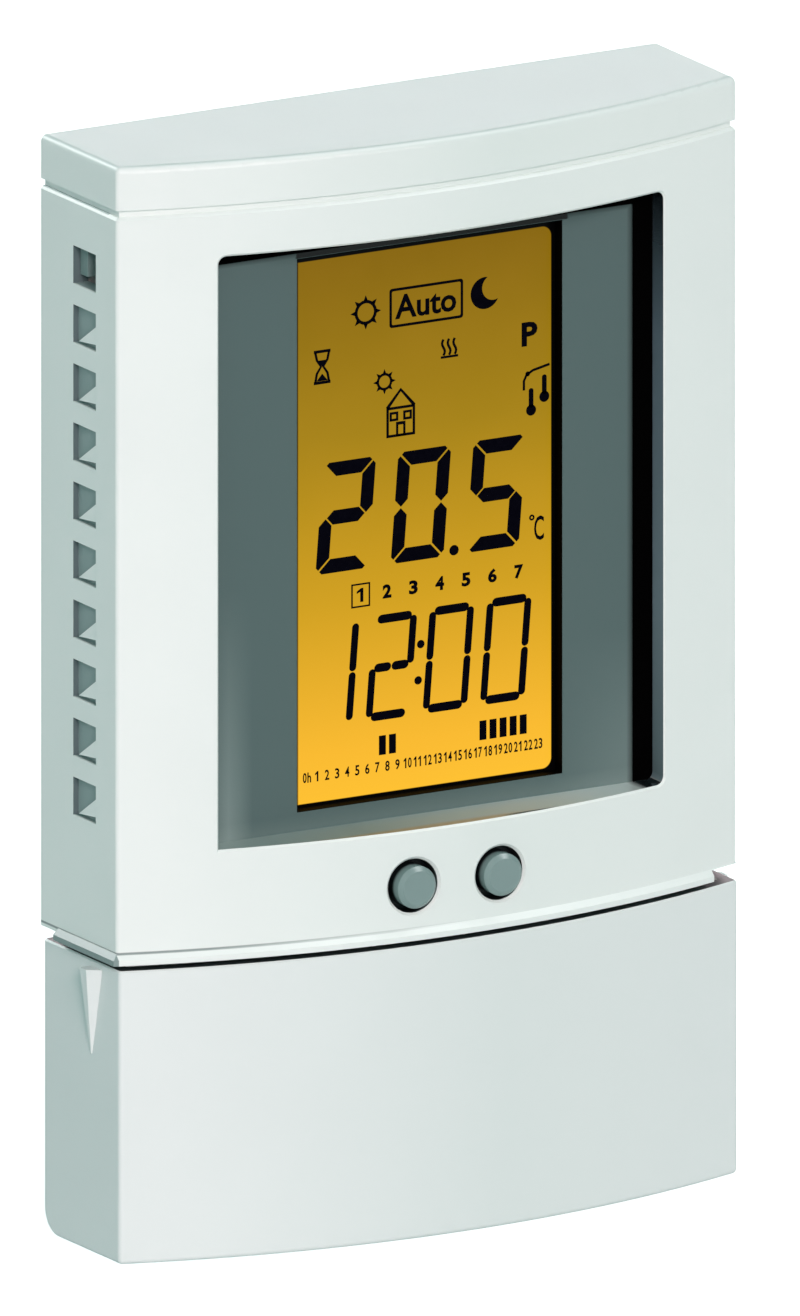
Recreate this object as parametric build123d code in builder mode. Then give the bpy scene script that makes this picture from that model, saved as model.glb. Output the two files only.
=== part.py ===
"""Programmable room thermostat for a wall, with a hinged lower cover over its keys and batteries.

Millimetres. X runs to the right as the user sees it, +Z is up, and the wall is the plane Y = 0.
The front faces -Y. The origin is on the wall, midway between the two fixing screws.
A "depth" is a distance in front of the wall, so a depth d lies at Y = -d.
"""

import os
from math import sqrt

from build123d import *

os.makedirs("parts", exist_ok=True)

# ---------------------------------------------------------------- driving dimensions
WIDTH = 82.0
HEIGHT = 130.0
SIDE_DEPTH = 17.3  # of the flat sides, from the wall to the front corners
BOW = 7.2  # how far the curved front stands out beyond its corners
WALL = 2.0  # moulded wall thickness
CORNER_ROUND = 0.6  # on the two upright front corners
PLAY = 0.4  # between parts that only have to clear each other

TOP = HEIGHT / 2
BOTTOM = -TOP
CAP_BOTTOM = TOP - 5.15  # underside of the cap's skirt
COVER_TOP = TOP - 6.0  # top edge of the front cover, a shadow groove below the cap
COVER_BOTTOM = -28.7
DOOR_TOP = -30.2

WINDOW_HALF = 29.45
WINDOW_TOP, WINDOW_BOTTOM = 53.7, -16.6
BEZEL_DEPTH = 18.05  # front face of the grey plate behind the window
BEZEL_THICK = 1.6
VIEW_HALF = 17.5
VIEW_TOP, VIEW_BOTTOM = 51.2, -14.3  # opening of the plate round the display

BOARD_THICK = 1.6
BOARD_FRONT = 7.4  # depth of the component side
BOARD_BACK = BOARD_FRONT - BOARD_THICK

CHASSIS_HALF = WIDTH / 2 - WALL - PLAY
CHASSIS_WALL = 1.6
CHASSIS_BACK = 2.4  # depth of its rear face, just clear of the wall plate
CHASSIS_FLOOR = CHASSIS_BACK + CHASSIS_WALL
CHASSIS_TOP, CHASSIS_BOTTOM = 57.6, -62.7
PANEL_BACK, PANEL_FRONT = 13.7, 15.3  # fixed panel behind the door

HINGE_DEPTH, HINGE_Z = 3.4, BOTTOM + 3.4
HINGE_PIN_RADIUS = 1.5
HINGE_PLAY = 0.06  # radial

BUTTON_X = 5.7
BUTTON_Z = -23.2
KEY_XS, KEY_ZS = (20.6, 31.4), (-45.5, -37.5)
SWITCH_TOP = BOARD_FRONT + 4.1  # depth of the tip of a tactile switch's plunger

BOW_RADIUS = ((WIDTH / 2) ** 2 + BOW**2) / (2 * BOW)
CROWN = SIDE_DEPTH + BOW  # depth of the front at the middle


# ---------------------------------------------------------------- helpers
def front_depth(x, inset=0.0):
    """Depth of the curved front at x, or of the surface that lies `inset` behind it."""
    return CROWN - BOW_RADIUS + sqrt((BOW_RADIUS - inset) ** 2 - x**2)


def casing_plan(inset=0.0, back=0.0, side_inset=None):
    """Plan of the casing, moved inwards by `inset`, with its straight rear edge at depth `back`."""
    half = WIDTH / 2 - (inset if side_inset is None else side_inset)
    corner = -front_depth(half, inset)
    with BuildSketch() as plan:
        with BuildLine():
            ThreePointArc((-half, corner), (0, -front_depth(0, inset)), (half, corner))
            Polyline((half, corner), (half, -back), (-half, -back), (-half, corner))
        make_face()
    return plan.sketch


def block(x, depth, z, mode=Mode.ADD):
    """A block between two values of x, of depth from the wall and of z."""
    with Locations(((x[0] + x[1]) / 2, -(depth[0] + depth[1]) / 2, (z[0] + z[1]) / 2)):
        Box(x[1] - x[0], depth[1] - depth[0], z[1] - z[0], mode=mode)


def post(x, z, radius, depth, mode=Mode.ADD):
    """A round post or hole at right angles to the wall, between two depths."""
    with Locations(Plane(origin=(x, -depth[0], z), x_dir=(1, 0, 0), z_dir=(0, -1, 0))):
        Cylinder(radius, depth[1] - depth[0], align=(Align.CENTER, Align.CENTER, Align.MIN), mode=mode)


def sideways_rod(x, depth, z, radius, mode=Mode.ADD):
    """A round rod or hole along X between two values of x."""
    with Locations(Plane(origin=(x[0], -depth, z), x_dir=(0, 1, 0), z_dir=(1, 0, 0))):
        Cylinder(radius, x[1] - x[0], align=(Align.CENTER, Align.CENTER, Align.MIN), mode=mode)


def save(builder, name):
    """Label a finished piece and write it as its own file."""
    builder.part.label = name
    export_step(builder.part, f"parts/{name}.step")


# ---------------------------------------------------------------- wall plate
PLATE_THICK = 2.0
PLATE_HALF = 38.2
PLATE_TOP, PLATE_BOTTOM = 57.4, -57.4
FIXING_SPACING = 60.0
FIXING_RADIUS, FIXING_LENGTH = 2.1, 9.0
CABLE_X, CABLE_Z = (-12.0, 12.0), (9.0, 37.0)
TERMINAL_X, TERMINAL_Z = (-36.0, -23.5), (9.4, 36.0)
HOOK_XS = (-16.0, 16.0)
HOOK_WIDTH = 8.0
HOOK_Z, HOOK_TIP_Z = (50.0, 52.4), (50.0, 54.0)
HOOK_DEPTH = BOARD_BACK - 0.5
CASE_SCREW_Z = -57.6
CASE_SCREW_RADIUS = 1.45
SCREW_TAB_HALF = 6.0
POCKET_DEEP = 0.8

with BuildPart() as wall_plate:
    block((-PLATE_HALF, PLATE_HALF), (0, PLATE_THICK), (PLATE_BOTTOM, PLATE_TOP))
    fillet(wall_plate.edges().filter_by(Axis.Y), 3)
    block((-SCREW_TAB_HALF, SCREW_TAB_HALF), (0, PLATE_THICK), (CHASSIS_BOTTOM + 1, PLATE_BOTTOM + 1))
    chamfer(wall_plate.faces().sort_by(Axis.Y)[0].edges(), 0.3)
    block(CABLE_X, (0, PLATE_THICK), CABLE_Z, Mode.SUBTRACT)
    with BuildSketch(Plane.XZ):
        with GridLocations(FIXING_SPACING, 1, 2, 1):
            SlotOverall(FIXING_LENGTH, 2 * FIXING_RADIUS)
    extrude(amount=PLATE_THICK, mode=Mode.SUBTRACT)
    post(0, CASE_SCREW_Z, CASE_SCREW_RADIUS + 0.05, (0, PLATE_THICK), Mode.SUBTRACT)
    # shallow pockets in the rear face keep the moulding even
    for low, high in ((-52.0, -30.0), (-26.0, -6.0)):
        for side in (-1, 1):
            x = sorted((side * 8.0, side * 33.0))
            block(x, (0, POCKET_DEEP), (low, high), Mode.SUBTRACT)
    # two hooks that the unit hangs on
    for x in HOOK_XS:
        hook_x = (x - HOOK_WIDTH / 2, x + HOOK_WIDTH / 2)
        block(hook_x, (PLATE_THICK, HOOK_DEPTH), HOOK_Z)
        block(hook_x, (CHASSIS_FLOOR + 0.2, HOOK_DEPTH), HOOK_TIP_Z)
save(wall_plate, "wall_plate")

# ---------------------------------------------------------------- terminal block on the wall plate
POLES = 5
POLE_PITCH = 5.08
TERMINAL_FRONT = 12.2
TERMINAL_MID_Z = (TERMINAL_Z[0] + TERMINAL_Z[1]) / 2
POLE_ZS = [TERMINAL_MID_Z + POLE_PITCH * (i - (POLES - 1) / 2) for i in range(POLES)]
TERMINAL_SCREW_X = -29.0
TERMINAL_SCREW_RADIUS = 1.7
WIRE_RADIUS = 1.35
WIRE_DEPTH = 3.9
BLADE_DEPTH = (BOARD_FRONT, BOARD_FRONT + 0.4)

with BuildPart() as terminal_block:
    block(TERMINAL_X, (PLATE_THICK, TERMINAL_FRONT), TERMINAL_Z)
    chamfer(terminal_block.faces().sort_by(Axis.Y)[0].edges(), 0.5)
    for z in POLE_ZS:
        post(TERMINAL_SCREW_X, z, TERMINAL_SCREW_RADIUS + 0.1, (5.6, TERMINAL_FRONT), Mode.SUBTRACT)
        sideways_rod((-31.5, TERMINAL_X[1]), WIRE_DEPTH, z, WIRE_RADIUS, Mode.SUBTRACT)
        blade_slot = (BLADE_DEPTH[0] - 0.1, BLADE_DEPTH[1] + 0.1)
        block((-26.1, TERMINAL_X[1]), blade_slot, (z - 1.1, z + 1.1), Mode.SUBTRACT)
    # grooves between the poles
    for z in POLE_ZS[1:]:
        groove = z - POLE_PITCH / 2
        groove_depth = (TERMINAL_FRONT - 1.2, TERMINAL_FRONT)
        block(TERMINAL_X, groove_depth, (groove - 0.3, groove + 0.3), Mode.SUBTRACT)
save(terminal_block, "terminal_block")

with BuildPart() as terminal_screws:
    for z in POLE_ZS:
        post(TERMINAL_SCREW_X, z, TERMINAL_SCREW_RADIUS, (5.8, TERMINAL_FRONT - 0.8))
        block(
            (TERMINAL_SCREW_X - 2, TERMINAL_SCREW_X + 2),
            (TERMINAL_FRONT - 1.6, TERMINAL_FRONT),
            (z - 0.3, z + 0.3),
            Mode.SUBTRACT,
        )
save(terminal_screws, "terminal_screws")

with BuildPart() as contact_blades:
    for z in POLE_ZS:
        block((-26.0, -21.5), BLADE_DEPTH, (z - 1, z + 1))
save(contact_blades, "contact_blades")

# ---------------------------------------------------------------- chassis
BAY_X = (-CHASSIS_HALF + CHASSIS_WALL, 12.3)
BAY_Z = (-53.9, -31.5)
BAY_WALL = 1.4
DIVIDER_Z = (-31.5, -29.9)
UPPER_RIM = 6.6  # depth of the low side walls in the upper half
SCREW_TUBE_RADIUS = 3.2
COVER_SCREW_X = 34.2
COVER_SCREW_ZS = (-22.5, 45.0)
COVER_SCREW_SEAT = 4.4
BOARD_SCREW_SPOTS = ((-33.6, -12.0), (33.6, -12.0), (-27.5, 52.0), (27.5, 52.0))
WIRING_X, WIRING_Z = (-37.0, 12.0), (8.4, 38.0)
BOARD_TONGUE_X = 15.6

with BuildPart() as chassis:
    side = CHASSIS_HALF - CHASSIS_WALL
    block((-CHASSIS_HALF, CHASSIS_HALF), (CHASSIS_BACK, CHASSIS_FLOOR), (CHASSIS_BOTTOM, CHASSIS_TOP))
    for x in ((-CHASSIS_HALF, -side), (side, CHASSIS_HALF)):
        block(x, (CHASSIS_FLOOR, UPPER_RIM), (DIVIDER_Z[0], CHASSIS_TOP))
        block(x, (CHASSIS_FLOOR, PANEL_BACK), (CHASSIS_BOTTOM, DIVIDER_Z[1]))
    block((-side, side), (CHASSIS_FLOOR, UPPER_RIM), (CHASSIS_TOP - CHASSIS_WALL, CHASSIS_TOP))
    block((-side, side), (CHASSIS_FLOOR, PANEL_BACK), (CHASSIS_BOTTOM, CHASSIS_BOTTOM + CHASSIS_WALL))
    # divider above the lower box, open behind where the board passes through it
    block((-side, BAY_X[1] + BAY_WALL), (CHASSIS_FLOOR, PANEL_BACK), DIVIDER_Z)
    block((BAY_X[1], side), (BOARD_FRONT + 0.2, PANEL_BACK), DIVIDER_Z)
    # battery bay
    block((BAY_X[1], BAY_X[1] + BAY_WALL), (CHASSIS_FLOOR, PANEL_BACK), (CHASSIS_BOTTOM + 1, DIVIDER_Z[0]))
    block((-side, BAY_X[1]), (CHASSIS_FLOOR, PANEL_BACK), (BAY_Z[0] - 0.8, BAY_Z[0]))
    # tube for the screw that holds the unit to the wall plate
    post(0, CASE_SCREW_Z, SCREW_TUBE_RADIUS, (CHASSIS_FLOOR, PANEL_BACK))
    post(0, CASE_SCREW_Z, CASE_SCREW_RADIUS + 0.2, (CHASSIS_BACK, PANEL_BACK), Mode.SUBTRACT)
    # seats of the front cover's screws, entered from the rear
    for x in (-COVER_SCREW_X, COVER_SCREW_X):
        for z in COVER_SCREW_ZS:
            post(x, z, 3.4, (CHASSIS_FLOOR, COVER_SCREW_SEAT + 1.4))
            post(x, z, 2.5, (CHASSIS_BACK, COVER_SCREW_SEAT), Mode.SUBTRACT)
            post(x, z, 1.35, (CHASSIS_BACK, COVER_SCREW_SEAT + 1.4), Mode.SUBTRACT)
    # stand-offs under the board
    for x, z in BOARD_SCREW_SPOTS:
        post(x, z, 2.4, (CHASSIS_FLOOR, BOARD_BACK))
        post(x, z, 1.15, (CHASSIS_BACK, BOARD_BACK), Mode.SUBTRACT)
    # opening over the terminals and the cable entry, and two slots for the wall plate's hooks
    block(WIRING_X, (CHASSIS_BACK, CHASSIS_FLOOR), WIRING_Z, Mode.SUBTRACT)
    for x in HOOK_XS:
        reach = HOOK_WIDTH / 2 + PLAY
        block((x - reach, x + reach), (CHASSIS_BACK, CHASSIS_FLOOR), (45.0, HOOK_Z[1] + 0.2), Mode.SUBTRACT)
    # knuckles that take the door's pins, rounded so that the door clears them
    for x in ((-CHASSIS_HALF, -28.0), (28.0, CHASSIS_HALF)):
        block(x, (0, HINGE_DEPTH), (HINGE_Z - 4, HINGE_Z + HINGE_DEPTH), Mode.SUBTRACT)
        block(x, (HINGE_DEPTH, 7.0), (BOTTOM, HINGE_Z), Mode.SUBTRACT)
        block(x, (CHASSIS_BACK, PANEL_BACK), (HINGE_Z + 0.5, HINGE_Z + HINGE_DEPTH))
        sideways_rod(x, HINGE_DEPTH, HINGE_Z, HINGE_DEPTH - 0.1)
        block(x, (HINGE_DEPTH, PANEL_BACK), (CHASSIS_BOTTOM, HINGE_Z + 0.5))
    bore = HINGE_PIN_RADIUS + HINGE_PLAY
    for x in ((-CHASSIS_HALF, -CHASSIS_HALF + 3), (CHASSIS_HALF - 3, CHASSIS_HALF)):
        sideways_rod(x, HINGE_DEPTH, HINGE_Z, bore, Mode.SUBTRACT)
save(chassis, "chassis")

# ---------------------------------------------------------------- door
DOOR_PROUD = 0.4  # stands this far in front of the case
DOOR_SIDE_INSET = 0.1
DOOR_WALL = 1.8
DOOR_BACK = 0.3
PIN_LENGTH = 2.3
BOTTOM_WALL_REAR = HINGE_DEPTH + 3.8
GRIP_TOP, GRIP_TIP_Z = DOOR_TOP - 0.7, -41.3
GRIP_REAR, GRIP_FRONT, GRIP_EDGE = 11.3, 14.0, 12.8
GRIP_PROUD = 1.55

with BuildPart() as door_hollow:
    with BuildSketch(Plane.XY.offset(BOTTOM + DOOR_WALL)):
        add(casing_plan(WALL - DOOR_PROUD, back=-5, side_inset=DOOR_SIDE_INSET + DOOR_WALL))
    extrude(amount=HEIGHT / 2)

door_half = WIDTH / 2 - DOOR_SIDE_INSET
with BuildPart() as door:
    with BuildSketch(Plane.XY.offset(BOTTOM)):
        add(casing_plan(-DOOR_PROUD, back=DOOR_BACK, side_inset=DOOR_SIDE_INSET))
    extrude(amount=DOOR_TOP - BOTTOM)
    bottom_rear = door.edges().filter_by(Axis.X).group_by(Axis.Z)[0].sort_by(Axis.Y)[-1]
    fillet(bottom_rear, HINGE_DEPTH - DOOR_BACK)
    fillet(door.edges().filter_by(Axis.Z).group_by(Axis.Y)[0], CORNER_ROUND)
    fillet(door.edges().filter_by(GeomType.CIRCLE).group_by(Axis.Z)[0], CORNER_ROUND)
    chamfer(door.edges().filter_by(GeomType.CIRCLE).group_by(Axis.Z)[-1], 0.2)
    add(door_hollow.part, mode=Mode.SUBTRACT)
    inner_half = door_half - DOOR_WALL
    bottom_wall = (BOTTOM - 1, BOTTOM + DOOR_WALL + 0.1)
    block((-inner_half, inner_half), (-1, BOTTOM_WALL_REAR), bottom_wall, Mode.SUBTRACT)
    sideways_rod((-inner_half - 1, -inner_half + PIN_LENGTH), HINGE_DEPTH, HINGE_Z, HINGE_PIN_RADIUS)
    sideways_rod((inner_half - PIN_LENGTH, inner_half + 1), HINGE_DEPTH, HINGE_Z, HINGE_PIN_RADIUS)
    # a tapering grip on each side
    for side in (-1, 1):
        root, edge = side * (door_half - 0.2), side * (door_half + GRIP_PROUD)
        with BuildSketch(Plane.XY.offset(GRIP_TOP)):
            with BuildLine():
                Polyline(
                    (root, -GRIP_REAR),
                    (edge, -GRIP_REAR),
                    (edge, -GRIP_EDGE),
                    (root, -GRIP_FRONT),
                    close=True,
                )
            make_face()
        with BuildSketch(Plane.XY.offset(GRIP_TIP_Z)):
            tip = side * (door_half + 0.1)
            with BuildLine():
                Polyline((root, -11.3), (tip, -11.3), (tip, -11.5), (root, -11.7), close=True)
            make_face()
        loft()
save(door, "door")

# ---------------------------------------------------------------- front cover
WINDOW_COLLAR = 1.2
WINDOW_ROUND, WINDOW_SHARP = 1.0, 0.35
BUTTON_HOLE_RADIUS = 3.2
VENT_COUNT, VENT_PITCH = 10, 7.0
VENT_TOP, VENT_HIGH = 53.6, 4.5
VENT_DEPTH = (7.4, 12.55)
VENT_POCKET = 0.7
LIP_PROUD = 0.65
LIP_TOP, LIP_EDGE, LIP_BOTTOM = -28.2, -28.85, -29.5
LIP_REAR = 3.9
NOTCH_X, NOTCH_DEPTH = 36.9, 13.0

with BuildPart() as cover_hollow:
    with BuildSketch(Plane.XY.offset(COVER_BOTTOM + 1.5)):
        add(casing_plan(WALL, back=-5))
    extrude(amount=COVER_TOP - COVER_BOTTOM)
    # the floor is open over the chassis
    chassis_clear = (-CHASSIS_HALF - PLAY, CHASSIS_HALF + PLAY)
    block(chassis_clear, (-5, PANEL_FRONT + 0.3), (COVER_BOTTOM - 3, COVER_BOTTOM + 2))
    # a collar round the window reaches back to the grey plate
    with BuildSketch(Plane.XZ.offset(BEZEL_DEPTH)):
        with Locations((0, (WINDOW_TOP + WINDOW_BOTTOM) / 2)):
            Rectangle(
                2 * (WINDOW_HALF + WINDOW_COLLAR),
                WINDOW_TOP - WINDOW_BOTTOM + 2 * WINDOW_COLLAR,
            )
    extrude(amount=CROWN, mode=Mode.SUBTRACT)
    # bosses for the screws from the chassis
    for x in (-COVER_SCREW_X, COVER_SCREW_X):
        for z in COVER_SCREW_ZS:
            post(x, z, 2.6, (COVER_SCREW_SEAT + 1.5, CROWN), Mode.SUBTRACT)

with BuildPart() as front_cover:
    with BuildSketch(Plane.XY.offset(COVER_BOTTOM)):
        add(casing_plan())
    extrude(amount=COVER_TOP - COVER_BOTTOM)
    fillet(front_cover.edges().filter_by(Axis.Z).group_by(Axis.Y)[0], CORNER_ROUND)
    rim = front_cover.faces().sort_by(Axis.Z)[-1].edges()
    chamfer(rim.sort_by(Axis.Y)[:-1], 0.35)
    # a lip below the case stands out towards the door
    with BuildSketch(Plane.XY.offset(LIP_BOTTOM)):
        add(casing_plan(-LIP_PROUD, back=LIP_REAR))
    extrude(amount=LIP_EDGE - LIP_BOTTOM)
    with BuildSketch(Plane.XY.offset(LIP_EDGE)):
        add(casing_plan(-LIP_PROUD, back=LIP_REAR))
    with BuildSketch(Plane.XY.offset(LIP_TOP)):
        add(casing_plan(0, back=LIP_REAR))
    loft()
    # finger notch at the right front corner
    block((NOTCH_X, WIDTH), (NOTCH_DEPTH, CROWN), (LIP_BOTTOM - 1, COVER_BOTTOM + 0.4), Mode.SUBTRACT)
    add(cover_hollow.part, mode=Mode.SUBTRACT)
    # window
    with BuildSketch(Plane.XZ):
        with Locations((0, (WINDOW_TOP + WINDOW_BOTTOM) / 2)):
            window = Rectangle(2 * WINDOW_HALF, WINDOW_TOP - WINDOW_BOTTOM)
        lower_left = window.vertices().sort_by(Axis.X)[:2].sort_by(Axis.Y)[0]
        fillet([corner for corner in window.vertices() if corner != lower_left], WINDOW_ROUND)
        fillet(lower_left, WINDOW_SHARP)
    extrude(amount=2 * CROWN, mode=Mode.SUBTRACT)
    cut_edges = front_cover.edges(Select.LAST)
    chamfer(cut_edges.filter_by(lambda e: -e.center().Y > front_depth(e.center().X) - 0.4), 0.25)
    # button holes
    for x in (-BUTTON_X, BUTTON_X):
        post(x, BUTTON_Z, BUTTON_HOLE_RADIUS, (BEZEL_DEPTH, 2 * CROWN), Mode.SUBTRACT)
        chamfer(front_cover.edges(Select.LAST).sort_by(Axis.Y)[0], 0.3)
    # screw holes in the bosses
    for x in (-COVER_SCREW_X, COVER_SCREW_X):
        for z in COVER_SCREW_ZS:
            post(x, z, 1.2, (COVER_SCREW_SEAT, 14.0), Mode.SUBTRACT)
    # side vents: the top one is open, the others are louvred pockets
    for side in (-1, 1):
        for i in range(VENT_COUNT):
            top = VENT_TOP - VENT_PITCH * i
            low = top - VENT_HIGH
            deep = WALL + 0.5 if i == 0 else VENT_POCKET
            x = sorted((side * (WIDTH / 2 - deep), side * WIDTH / 2))
            block(x, VENT_DEPTH, (low, top), Mode.SUBTRACT)
            if i > 0:
                with BuildSketch(Plane.YZ.offset(side * (WIDTH / 2 - VENT_POCKET))):
                    with BuildLine():
                        Polyline(
                            (-VENT_DEPTH[0] - 1.1, low + 0.35),
                            (-VENT_DEPTH[1], low + 0.8),
                            (-VENT_DEPTH[1], top - 1.5),
                            close=True,
                        )
                    make_face()
                extrude(amount=side * (VENT_POCKET - 0.1))
save(front_cover, "front_cover")

# ---------------------------------------------------------------- top cap
CAP_WALL = 2.0
CAP_SIDE_ROUND = 0.8  # along the two upper side edges
CAP_TONGUE_INSET = 0.55  # depth of the shadow groove
CAP_SPIGOT_LOW = COVER_TOP - 2.4
CAP_SPIGOT_WALL = 1.2

with BuildPart() as top_cap:
    with BuildSketch(Plane.XY.offset(CAP_BOTTOM)):
        add(casing_plan())
    extrude(amount=TOP - CAP_BOTTOM)
    fillet(top_cap.edges().filter_by(Axis.Z).group_by(Axis.Y)[0], CORNER_ROUND)
    fillet(top_cap.faces().sort_by(Axis.Z)[-1].edges().filter_by(Axis.Y), CAP_SIDE_ROUND)
    # tongue that shows as the groove, and a spigot inside the case
    with BuildSketch(Plane.XY.offset(COVER_TOP)):
        add(casing_plan(CAP_TONGUE_INSET))
    extrude(amount=CAP_BOTTOM - COVER_TOP)
    with BuildSketch(Plane.XY.offset(CAP_SPIGOT_LOW)):
        add(casing_plan(WALL + 0.1))
    extrude(amount=COVER_TOP - CAP_SPIGOT_LOW)
    with BuildSketch(Plane.XY.offset(CAP_SPIGOT_LOW)):
        add(casing_plan(WALL + 0.1 + CAP_SPIGOT_WALL, back=-1))
    extrude(amount=TOP - CAP_WALL - CAP_SPIGOT_LOW, mode=Mode.SUBTRACT)
    # the spigot stays clear of the chassis and the wall plate
    block(chassis_clear, (-1, UPPER_RIM + PLAY), (CAP_SPIGOT_LOW, COVER_TOP), Mode.SUBTRACT)
save(top_cap, "top_cap")

# ---------------------------------------------------------------- control panel behind the door
PANEL_TOP, PANEL_BOTTOM = -30.1, -62.4
KEY_WIDE, KEY_HIGH = 7.0, 4.6
KEY_GAP = 0.3
BAY_MOUTH_X = (BAY_X[0] + 0.6, BAY_X[1] - 0.3)
BAY_MOUTH_Z = (BAY_Z[0] + 0.4, BAY_Z[1] - 0.4)
SLIDER_X, SLIDER_Z = 24.25, -54.6
SLIDER_TRAVEL = 3.5
SLIDER_WIDE, SLIDER_HIGH = 3.0, 2.0
SWITCH_X = SLIDER_X + SLIDER_TRAVEL / 2
CASE_SCREW_HEAD_RADIUS = 2.6

with BuildPart() as control_panel:
    block((-CHASSIS_HALF, CHASSIS_HALF), (PANEL_BACK, PANEL_FRONT), (PANEL_BOTTOM, PANEL_TOP))
    fillet(control_panel.edges().filter_by(Axis.Y), 1.0)
    chamfer(control_panel.faces().sort_by(Axis.Y)[0].edges(), 0.3)
    block(BAY_MOUTH_X, (PANEL_BACK, PANEL_FRONT), BAY_MOUTH_Z, Mode.SUBTRACT)
    with BuildSketch(Plane.XZ.offset(PANEL_BACK)):
        for x in KEY_XS:
            for z in KEY_ZS:
                with Locations((x, z)):
                    RectangleRounded(KEY_WIDE + 2 * KEY_GAP, KEY_HIGH + 2 * KEY_GAP, 1.0)
        with Locations((SWITCH_X, SLIDER_Z)):
            RectangleRounded(SLIDER_WIDE + SLIDER_TRAVEL + 2 * KEY_GAP, SLIDER_HIGH + 2 * KEY_GAP, 0.5)
        with Locations((0, CASE_SCREW_Z)):
            Circle(CASE_SCREW_HEAD_RADIUS + PLAY)
    extrude(amount=PANEL_FRONT - PANEL_BACK, mode=Mode.SUBTRACT)
save(control_panel, "control_panel")

# ---------------------------------------------------------------- display
HOLDER_WALL = 1.5
GLASS_HALF = 19.5
GLASS_Z = (-17.5, 54.0)
GLASS_FRONT = BEZEL_DEPTH - BEZEL_THICK
GLASS_THICK = 2.4
GLASS_BACK = GLASS_FRONT - GLASS_THICK
GUIDE_BACK = 10.5
GUIDE_Z = (-14.8, 51.4)
BEZEL_HALF = 31.3
BEZEL_Z = (-18.4, 55.5)
SEAL_WIDE = 2.5
SEAL_TOP_WIDE = 1.6
SEAL_THICK = 0.25
STEM_RADIUS = 1.6
LED_XS = (-11.0, 0.0, 11.0)
BRACKET_HALF = 12.0

with BuildPart() as display_bezel:
    block((-BEZEL_HALF, BEZEL_HALF), (GLASS_FRONT, BEZEL_DEPTH), BEZEL_Z)
    fillet(display_bezel.edges().filter_by(Axis.Y), 0.5)
    with BuildSketch(Plane.XZ.offset(GLASS_FRONT)):
        with Locations((0, (VIEW_TOP + VIEW_BOTTOM) / 2)):
            RectangleRounded(2 * VIEW_HALF, VIEW_TOP - VIEW_BOTTOM, 0.3)
    extrude(amount=BEZEL_THICK, mode=Mode.SUBTRACT)
save(display_bezel, "display_bezel")

with BuildPart() as light_seal:
    seal_right = WINDOW_HALF - 0.1
    seal_top = WINDOW_TOP - 0.1
    seal_depth = (BEZEL_DEPTH, BEZEL_DEPTH + SEAL_THICK)
    block((seal_right - SEAL_WIDE, seal_right), seal_depth, (WINDOW_BOTTOM + 0.1, seal_top))
    block((-seal_right, seal_right), seal_depth, (seal_top - SEAL_TOP_WIDE, seal_top))
    corners = light_seal.edges().filter_by(Axis.Y)
    fillet(corners.group_by(Axis.Z)[-1] + corners.group_by(Axis.Z)[0].sort_by(Axis.X)[-1:], WINDOW_ROUND - 0.1)
save(light_seal, "light_seal")

with BuildPart() as lcd_glass:
    block((-GLASS_HALF, GLASS_HALF), (GLASS_BACK, GLASS_FRONT), GLASS_Z)
    # the rear glass is shorter, which leaves a ledge of contacts at each end of the front glass
    for z in ((GLASS_Z[0], GUIDE_Z[0] - 0.1), (GUIDE_Z[1] + 0.1, GLASS_Z[1])):
        block((-GLASS_HALF, GLASS_HALF), (GLASS_BACK, GLASS_BACK + 1.1), z, Mode.SUBTRACT)
save(lcd_glass, "lcd_glass")

with BuildPart() as light_guide:
    block((-18.5, 18.5), (GUIDE_BACK, GLASS_BACK), GUIDE_Z)
    # pockets in the lower edge for the light sources
    for x in LED_XS:
        led_pocket = (GUIDE_Z[0], GUIDE_Z[0] + 1.6)
        block((x - 1.6, x + 1.6), (GUIDE_BACK, GUIDE_BACK + 1.4), led_pocket, Mode.SUBTRACT)
save(light_guide, "light_guide")

with BuildPart() as backlight_leds:
    for x in LED_XS:
        block((x - 1.4, x + 1.4), (BOARD_FRONT, GUIDE_BACK + 1.2), (GUIDE_Z[0] + 0.1, GUIDE_Z[0] + 1.4))
save(backlight_leds, "backlight_leds")

with BuildPart() as connector_strips:
    for z in ((GLASS_Z[0], GUIDE_Z[0] - 0.2), (GUIDE_Z[1] + 0.2, GLASS_Z[1])):
        block((-17.0, 17.0), (BOARD_FRONT, GLASS_BACK + 1.1), z)
save(connector_strips, "connector_strips")

with BuildPart() as display_holder:
    inner = GLASS_HALF + 0.2
    outer = inner + HOLDER_WALL
    inner_z = (GLASS_Z[0] - 0.2, GLASS_Z[1] + 0.2)
    outer_z = (inner_z[0] - HOLDER_WALL, inner_z[1] + HOLDER_WALL)
    block((-outer, outer), (BOARD_FRONT, GLASS_FRONT), outer_z)
    block((-inner, inner), (BOARD_FRONT, GLASS_FRONT), inner_z, Mode.SUBTRACT)
    # ledges under the light guide, along its sides
    for x in ((-inner, -16.5), (16.5, inner)):
        block(x, (GUIDE_BACK - 1.2, GUIDE_BACK), (GUIDE_Z[0] + 4, GUIDE_Z[1] - 4))
    # bracket that guides the two front buttons
    bracket_z = (BUTTON_Z - 4, outer_z[0])
    block((-BRACKET_HALF, BRACKET_HALF), (GLASS_FRONT - 1.6, GLASS_FRONT), bracket_z)
    for x in ((-BRACKET_HALF, -BRACKET_HALF + 2), (BRACKET_HALF - 2, BRACKET_HALF)):
        block(x, (BOARD_FRONT, GLASS_FRONT), bracket_z)
    for x in (-BUTTON_X, BUTTON_X):
        post(x, BUTTON_Z, STEM_RADIUS + 0.1, (BOARD_FRONT, GLASS_FRONT), Mode.SUBTRACT)
save(display_holder, "display_holder")

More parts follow.
